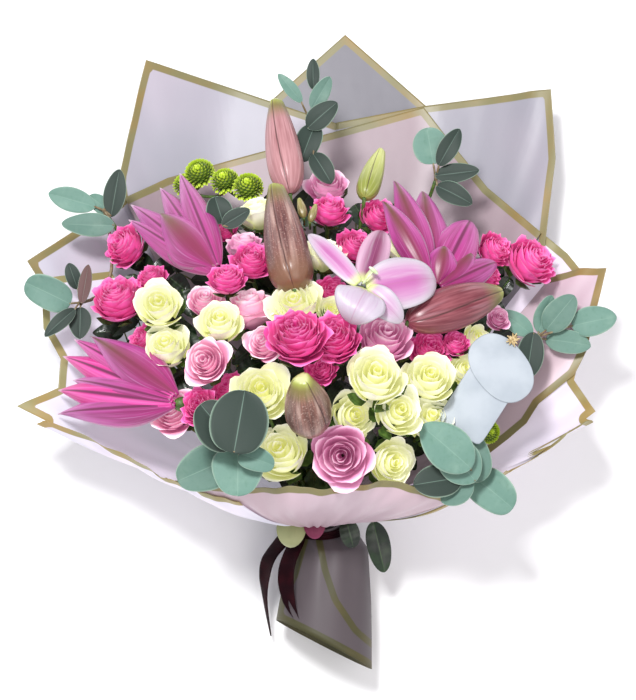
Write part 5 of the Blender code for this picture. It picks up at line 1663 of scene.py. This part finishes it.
# Gold edges of the panels on top of the foot, as places on the plan, and how high the top begins
FOOT_LINES = [
    [(-11, -190), (-21, -225), (-33, -250), (-38, -272)],
    [(2, -185), (9, -220), (19, -250), (39, -280), (56, -295)],
]
FOOT_TOP = 45.0


def build_foot():
    """The gathered film under the tie, in soft pleats, with the gold edges of its panels."""
    turn = np.linspace(0.0, 2.0 * pi, 120, endpoint=False)
    along = np.linspace(0.0, 1.0, 41)
    grid = []
    for share in along.tolist():
        section = foot_between((len(FOOT) - 1) * share)
        depth = 0.6 + 3.6 * sin(pi * min(share * 1.15, 1.0)) * (1.0 - 0.5 * share)
        row = []
        for angle in turn:
            pleat = 0.5 + 0.5 * sin(9.0 * angle + 1.2 * sin(2.0 * angle) + 2.0 * share)
            pleat = 0.6 * pleat + 0.4 * (0.5 + 0.5 * sin(4.0 * angle + 1.0 - 3.0 * share))
            row.append(tuple(foot_place(section, depth * pleat, angle)))
        grid.append(row)
    grid = np.array(grid)
    edge = np.linalg.norm(grid - grid[-1][None, :, :], axis=2)
    flat = np.array([[seen(Vector(point)) for point in row] for row in grid])
    for line in FOOT_LINES:
        for start, end in zip(line, line[1:]):
            way = np.subtract(end, start).astype(float)
            place = np.clip(((flat - start) @ way) / (way @ way), 0.0, 1.0)
            gap = np.linalg.norm(flat - (start + place[..., None] * way), axis=2) + 4.5
            edge = np.where(grid[..., 2] > FOOT_TOP, np.minimum(edge, gap), edge)
    patches = Patches()
    patches.add(grid, along=along[:, None], edge=edge, closed=True)
    patches.build("film_foot_sheet", [foot_film], "film_foot", FILM_THICK)


# Ribbon: a band of turns round the tie, and two tails that lie over the foot's left side

RIBBON = 1.2
RIBBON_BAND = (0.30, 0.75, 1.15)
RIBBON_TURNS = 3
RIBBON_MIDDLE = 10.0
RIBBON_WIDTH = 0.024
RIBBON_NOTCHES = (0.0, 0.22)

# Tails: where one leaves the band, in degrees from its top, then right, up, height, width
RIBBON_TAILS = [
    (-62.0, [(-46, -206, 58, 23), (-51, -227, 46, 19), (-51, -250, 32, 10), (-45, -286, 16, 4)]),
    (-38.0, [(-28, -212, 84, 18), (-30, -232, 82, 18), (-27, -252, 82, 14), (-20, -268, 83, 5)]),
]


def add_strip(patches, path, sides, notch):
    """A ribbon strip through places and widths, with a notch cut in its end, as a share of its length."""
    dense = []
    for index in range(len(path) - 1):
        (here, wide), (after, wider) = path[index], path[index + 1]
        before = path[max(index - 1, 0)][0]
        beyond = path[min(index + 2, len(path) - 1)][0]
        for part in range(8):
            share = part / 8.0
            place = smooth_between(before, here, after, beyond, share)
            side = sides[index].lerp(sides[index + 1], share).normalized()
            dense.append((place, wide + (wider - wide) * share, side))
    dense.append((*path[-1], sides[-1]))
    last = len(dense) - 1
    across = np.linspace(-1.0, 1.0, 9)
    rows = []
    for number in range(last + 1):
        row = []
        for a in across:
            step = number * (1.0 - notch * (1.0 - abs(a)))
            first = min(int(step), last - 1)
            (place, wide, side), (after, wider, beside) = dense[first], dense[first + 1]
            normal = (after - place).cross(side).normalized()
            place = place.lerp(after, step - first)
            wide = wide + (wider - wide) * (step - first)
            side = side.lerp(beside, step - first)
            curl = 0.06 * wide * sin(0.35 * step)
            row.append(tuple(place + side * 0.5 * wide * a + normal * (curl * (a * a - 0.5))))
        rows.append(row)
    along = np.linspace(0.0, 1.0, len(rows))[:, None]
    patches.add(rows, along=along, across=across[None, :])


def build_ribbon():
    """The ribbon: turns round the neck and tails over the left of the foot."""
    patches = Patches()
    first, last = RIBBON_BAND[0], RIBBON_BAND[-1]
    for turn in range(RIBBON_TURNS):
        rings = []
        for step in range(7):
            share = step / 6.0
            section = foot_between(first + (last - first) * (0.02 + 0.32 * turn + 0.32 * share))
            bulge = GAP + RIBBON * (0.15 + 0.85 * sin(pi * share)) - 0.1
            rings.append([tuple(foot_place(section, -bulge, 2.0 * pi * k / 64)) for k in range(64)])
        along = np.linspace(0.0, 1.0, len(rings))[:, None]
        patches.add(rings, along=along, across=2.0 * along - 1.0, closed=True)
    wall = -(GAP + RIBBON)
    for (degrees, tail), notch in zip(RIBBON_TAILS, RIBBON_NOTCHES):
        angle = radians(degrees)
        path, sides = [], []
        for position in RIBBON_BAND[1:]:
            section = foot_between(position)
            path.append((foot_place(section, wall, angle), tail[0][3]))
            ahead = foot_place(section, wall, angle + 0.05)
            sides.append((ahead - foot_place(section, wall, angle - 0.05)).normalized())
        for right, up, height, width in tail:
            place = spot(right, up, height)
            path.append((place, width))
            away = Vector((place.x - RIBBON_MIDDLE, 0.0, place.z)).normalized()
            sides.append(Vector((0.0, -1.0, 0.0)).cross(away).normalized())
        for index in range(1, len(sides)):
            if sides[index].dot(sides[index - 1]) < 0.0:
                sides[index] = -sides[index]
        add_strip(patches, path, sides, notch)
    strip = patches.build("ribbon_satin", [satin], "ribbon", FILM_THICK)
    declare_sheet(strip, width=RIBBON_WIDTH)


# Cards: a plain rectangular card with a plain oval tag on it, and a small dried clip on the tag

CARD_THICK = 0.8
CARD_HEIGHT = 198.9

# Right, up, half sizes, turn in degrees, and how square the outline is, from 2 for an oval upwards
CARD = (165, -47, (42.0, 25.0), 57.0, 12.0)
TAG = (185, -18, (37.0, 26.0), -52.0, 2.3)

# The softened edge of a card: height over its thickness, and size over its outline
CARD_EDGE = ((0.5, 0.0), (0.5, 0.5), (0.5, 0.97), (0.25, 1.0), (-0.25, 1.0), (-0.5, 0.97), (-0.5, 0.0))

# The clip: right, up and lift over the card
CLIP = (197, 10, 3.0)


def build_card(node, row, height):
    """A thin flat card: a rounded rectangle or an oval, with softened edges."""
    right, up, half, degrees, power = row
    turn = radians(degrees)
    along_way = Vector((cos(turn), sin(turn), 0.0))
    side_way = Vector((-sin(turn), cos(turn), 0.0))
    centre = spot(right, up, height + 0.5 * CARD_THICK)
    rings = []
    for level, size in CARD_EDGE:
        ring = []
        for step in range(72):
            angle = 2.0 * pi * step / 72.0
            c, s = cos(angle), sin(angle)
            grow = (abs(c) ** power + abs(s) ** power) ** (-1.0 / power)
            flat = along_way * half[0] * c * grow * size + side_way * half[1] * s * grow * size
            ring.append(tuple(centre + flat + UP * CARD_THICK * level))
        rings.append(ring)
    patches = Patches()
    patches.add(rings, closed=True)
    patches.build(node + "_stock", [card_stock], node)


def build_cards():
    """The plain card, the plain tag on it, and the small dried clip, with a dark disc as painted shade in
    the tag's hole.
    """
    patches = Patches()
    middle = spot(CLIP[0], CLIP[1], CARD_HEIGHT + CLIP[2])
    for number in range(26):
        turn = 2.4 * number
        out = Vector((cos(turn), sin(turn), 0.35 + 0.3 * sin(3.0 * number))) * (2.0 + 0.22 * number)
        add_tube(patches, [middle, middle + out * 0.6, middle + out], [0.5, 0.9, 0.5], 6)
    patches.build("card_clip", [dried_clip])
    patches = Patches()
    # Painted shade: a dark disc, in the anthers' dusty brown, stands for the shade inside the tag's hole
    low = middle + Vector((-3.0, -10.0, -1.2))
    add_tube(patches, [low, low - UP * 0.2, low - UP * 0.4], [1.9, 2.0, 1.9], 16)
    patches.build("card_hole", [anther])
    build_card("card_rectangular", CARD, CARD_HEIGHT)
    build_card("card_oval", TAG, CARD_HEIGHT + CARD_THICK + GAP)


# Stems

# The bundle in the neck: places along the neck's axis, and radius
STEM_CORE = ((-14.0, 17.0), (0.0, 27.1), (24.0, 18.0), (52.0, 6.0))

# Cut stems in the foot, how far a stem dives under its bloom, and the lowest that it goes
FOOT_STEMS = 16
FOOT_STEM_END = Vector((8.0, -290.0, 44.0))
STEM_DIVE = 62.0
STEM_FLOOR = 24.0


def build_stems():
    """Stems that dive under their blooms, meet at the neck and end cut off in the foot."""
    patches = Patches()
    for end in STEM_ENDS:
        start = NECK + NECK_AXIS * 14.0 + (end - NECK).normalized() * 8.0
        low = (end - UP * STEM_DIVE).lerp(start, 0.12)
        low.z = max(low.z, min(end.z, STEM_FLOOR))
        add_tube(patches, curve_between(end, low, start, 14), [2.0] * 13 + [3.0], 8)
    path = [NECK + NECK_AXIS * along for along, size in STEM_CORE]
    add_tube(patches, path, [size for along, size in STEM_CORE], 16)
    for stem in range(FOOT_STEMS):
        angle = 2.4 * stem
        ring = Vector((cos(angle), 0.0, sin(angle))) * (0.4 + 0.6 * (stem % 3) / 2.0)
        end = FOOT_STEM_END + ring * 22.0
        end.y += 8.0 * sin(3.0 * angle)
        start = NECK - NECK_AXIS * 6.0 - ring * 8.0
        add_tube(patches, curve_between(start, start.lerp(end, 0.5), end, 6), [3.4] * 6, 8)
    patches.build("stems_skin", [green_stem], "stems")


# Floor, light and camera, in metres

FLOOR_HALF = 6.0
LIGHT_TARGET = Vector((0.0, 0.0, 0.1))
CAMERA_TARGET = Vector((0.002, -0.033, 0.150))
CAMERA_DISTANCE = 2.4
FRAME_HEIGHT = 0.700
SENSOR = 36.0


def aim(made, place, target):
    made.location = place
    made.rotation_euler = (target - made.location).to_track_quat("-Z", "Y").to_euler()
    bpy.context.scene.collection.objects.link(made)


def add_light(name, place, energy, size, colour):
    light = bpy.data.lights.new(name, "AREA")
    light.energy = energy
    light.size = size
    light.color = linear(colour)
    aim(bpy.data.objects.new(name, light), place, LIGHT_TARGET)


def build_stage():
    """A pale floor, soft lights and the camera over the flowers."""
    scene = bpy.context.scene
    side = np.linspace(-FLOOR_HALF, FLOOR_HALF, 13) / MM
    x, y = np.meshgrid(side, side)
    patches = Patches()
    patches.add(np.stack([x, y, np.zeros_like(x)], axis=-1))
    mesh = bpy.data.meshes.new("studio_floor")
    points = np.concatenate(patches.points) * MM
    mesh.from_pydata(points.tolist(), [], np.concatenate(patches.faces).tolist())
    mesh.materials.append(material_of(pale_floor))
    floor = bpy.data.objects.new("studio_floor", mesh)
    scene.collection.objects.link(floor)
    world = bpy.data.worlds.new("Soft studio light")
    world.use_nodes = True
    sky = world.node_tree.nodes["Background"]
    sky.inputs["Color"].default_value = opaque("FAFAFF")
    sky.inputs["Strength"].default_value = 0.72
    scene.world = world
    add_light("key_light", (-0.45, 0.65, 2.4), 54.0, 0.45, "FFFFFF")
    add_light("fill_light", (0.8, -1.1, 1.9), 14.0, 1.6, "FFF8F2")
    camera = bpy.data.objects.new("camera", bpy.data.cameras.new("camera"))
    way = Vector((0.0, -sin(SIGHT_TILT), cos(SIGHT_TILT)))
    aim(camera, CAMERA_TARGET + way * CAMERA_DISTANCE, CAMERA_TARGET)
    camera.data.sensor_fit = "AUTO"
    camera.data.sensor_width = SENSOR
    camera.data.lens = SENSOR * CAMERA_DISTANCE / FRAME_HEIGHT
    camera.data.clip_end = 20.0
    scene.camera = camera
    scene.view_settings.view_transform = "Standard"


# Operators and panel

SETTLED = []
BLOOM_COUNT = len(BLOOM_ROWS)


def settled():
    """Bodies of every bloom, lily, bud and leaf, settled once."""
    if not SETTLED:
        SETTLED.extend(arrange())
    return SETTLED


def bodies_of(first, count):
    return settled()[first:first + count]


class BOUQUET_OT_stage(bpy.types.Operator):
    """Add the floor, the lights and the camera"""

    bl_idname = "bouquet.stage"
    bl_label = "Stage"

    def execute(self, context):
        build_stage()
        return {"FINISHED"}


class BOUQUET_OT_film(bpy.types.Operator):
    """Add the sheets of film and the foot of the wrap"""

    bl_idname = "bouquet.film"
    bl_label = "Film"

    def execute(self, context):
        build_film()
        build_foot()
        return {"FINISHED"}


class BOUQUET_OT_blooms(bpy.types.Operator):
    """Add the roses and the button chrysanthemums"""

    bl_idname = "bouquet.blooms"
    bl_label = "Roses and chrysanthemums"

    def execute(self, context):
        build_blooms(bodies_of(0, BLOOM_COUNT))
        return {"FINISHED"}


class BOUQUET_OT_lilies(bpy.types.Operator):
    """Add the lilies and the lily buds"""

    bl_idname = "bouquet.lilies"
    bl_label = "Lilies and buds"

    def execute(self, context):
        build_lilies(bodies_of(BLOOM_COUNT, len(LILIES)))
        build_buds(bodies_of(BLOOM_COUNT + len(LILIES), len(BUDS)))
        return {"FINISHED"}


class BOUQUET_OT_leaves(bpy.types.Operator):
    """Add the eucalyptus, the rose leaves and the stems"""

    bl_idname = "bouquet.leaves"
    bl_label = "Leaves and stems"

    def execute(self, context):
        first = BLOOM_COUNT + len(LILIES) + len(BUDS)
        build_eucalyptus(settled()[first:])
        build_foliage(settled()[:first])
        build_stems()
        return {"FINISHED"}


class BOUQUET_OT_ribbon(bpy.types.Operator):
    """Add the ribbon and the cards"""

    bl_idname = "bouquet.ribbon"
    bl_label = "Ribbon and cards"

    def execute(self, context):
        build_ribbon()
        build_cards()
        return {"FINISHED"}


OPERATORS = (
    BOUQUET_OT_stage, BOUQUET_OT_film, BOUQUET_OT_blooms, BOUQUET_OT_lilies, BOUQUET_OT_leaves,
    BOUQUET_OT_ribbon)


class BOUQUET_PT_panel(bpy.types.Panel):
    """Settings and pieces of the bouquet"""

    bl_idname = "BOUQUET_PT_panel"
    bl_label = "Bouquet"
    bl_space_type = "VIEW_3D"
    bl_region_type = "UI"
    bl_category = "Bouquet"

    def draw(self, context):
        for settings in (sizes(), colours()):
            for key in settings.__annotations__:
                self.layout.prop(settings, key)
        for operator in OPERATORS:
            self.layout.operator(operator.bl_idname)


CLASSES = (BouquetSizes, BouquetColours, *OPERATORS, BOUQUET_PT_panel)


def register():
    for made in CLASSES:
        bpy.utils.register_class(made)
    bpy.types.Scene.bouquet_sizes = PointerProperty(type=BouquetSizes)
    bpy.types.Scene.bouquet_colours = PointerProperty(type=BouquetColours)


def unregister():
    del bpy.types.Scene.bouquet_colours
    del bpy.types.Scene.bouquet_sizes
    for made in reversed(CLASSES):
        bpy.utils.unregister_class(made)


def main():
    register()
    bpy.ops.bouquet.stage()
    bpy.ops.bouquet.film()
    bpy.ops.bouquet.blooms()
    bpy.ops.bouquet.lilies()
    bpy.ops.bouquet.leaves()
    bpy.ops.bouquet.ribbon()
    bpy.context.view_layer.update()


if __name__ == "__main__":
    main()
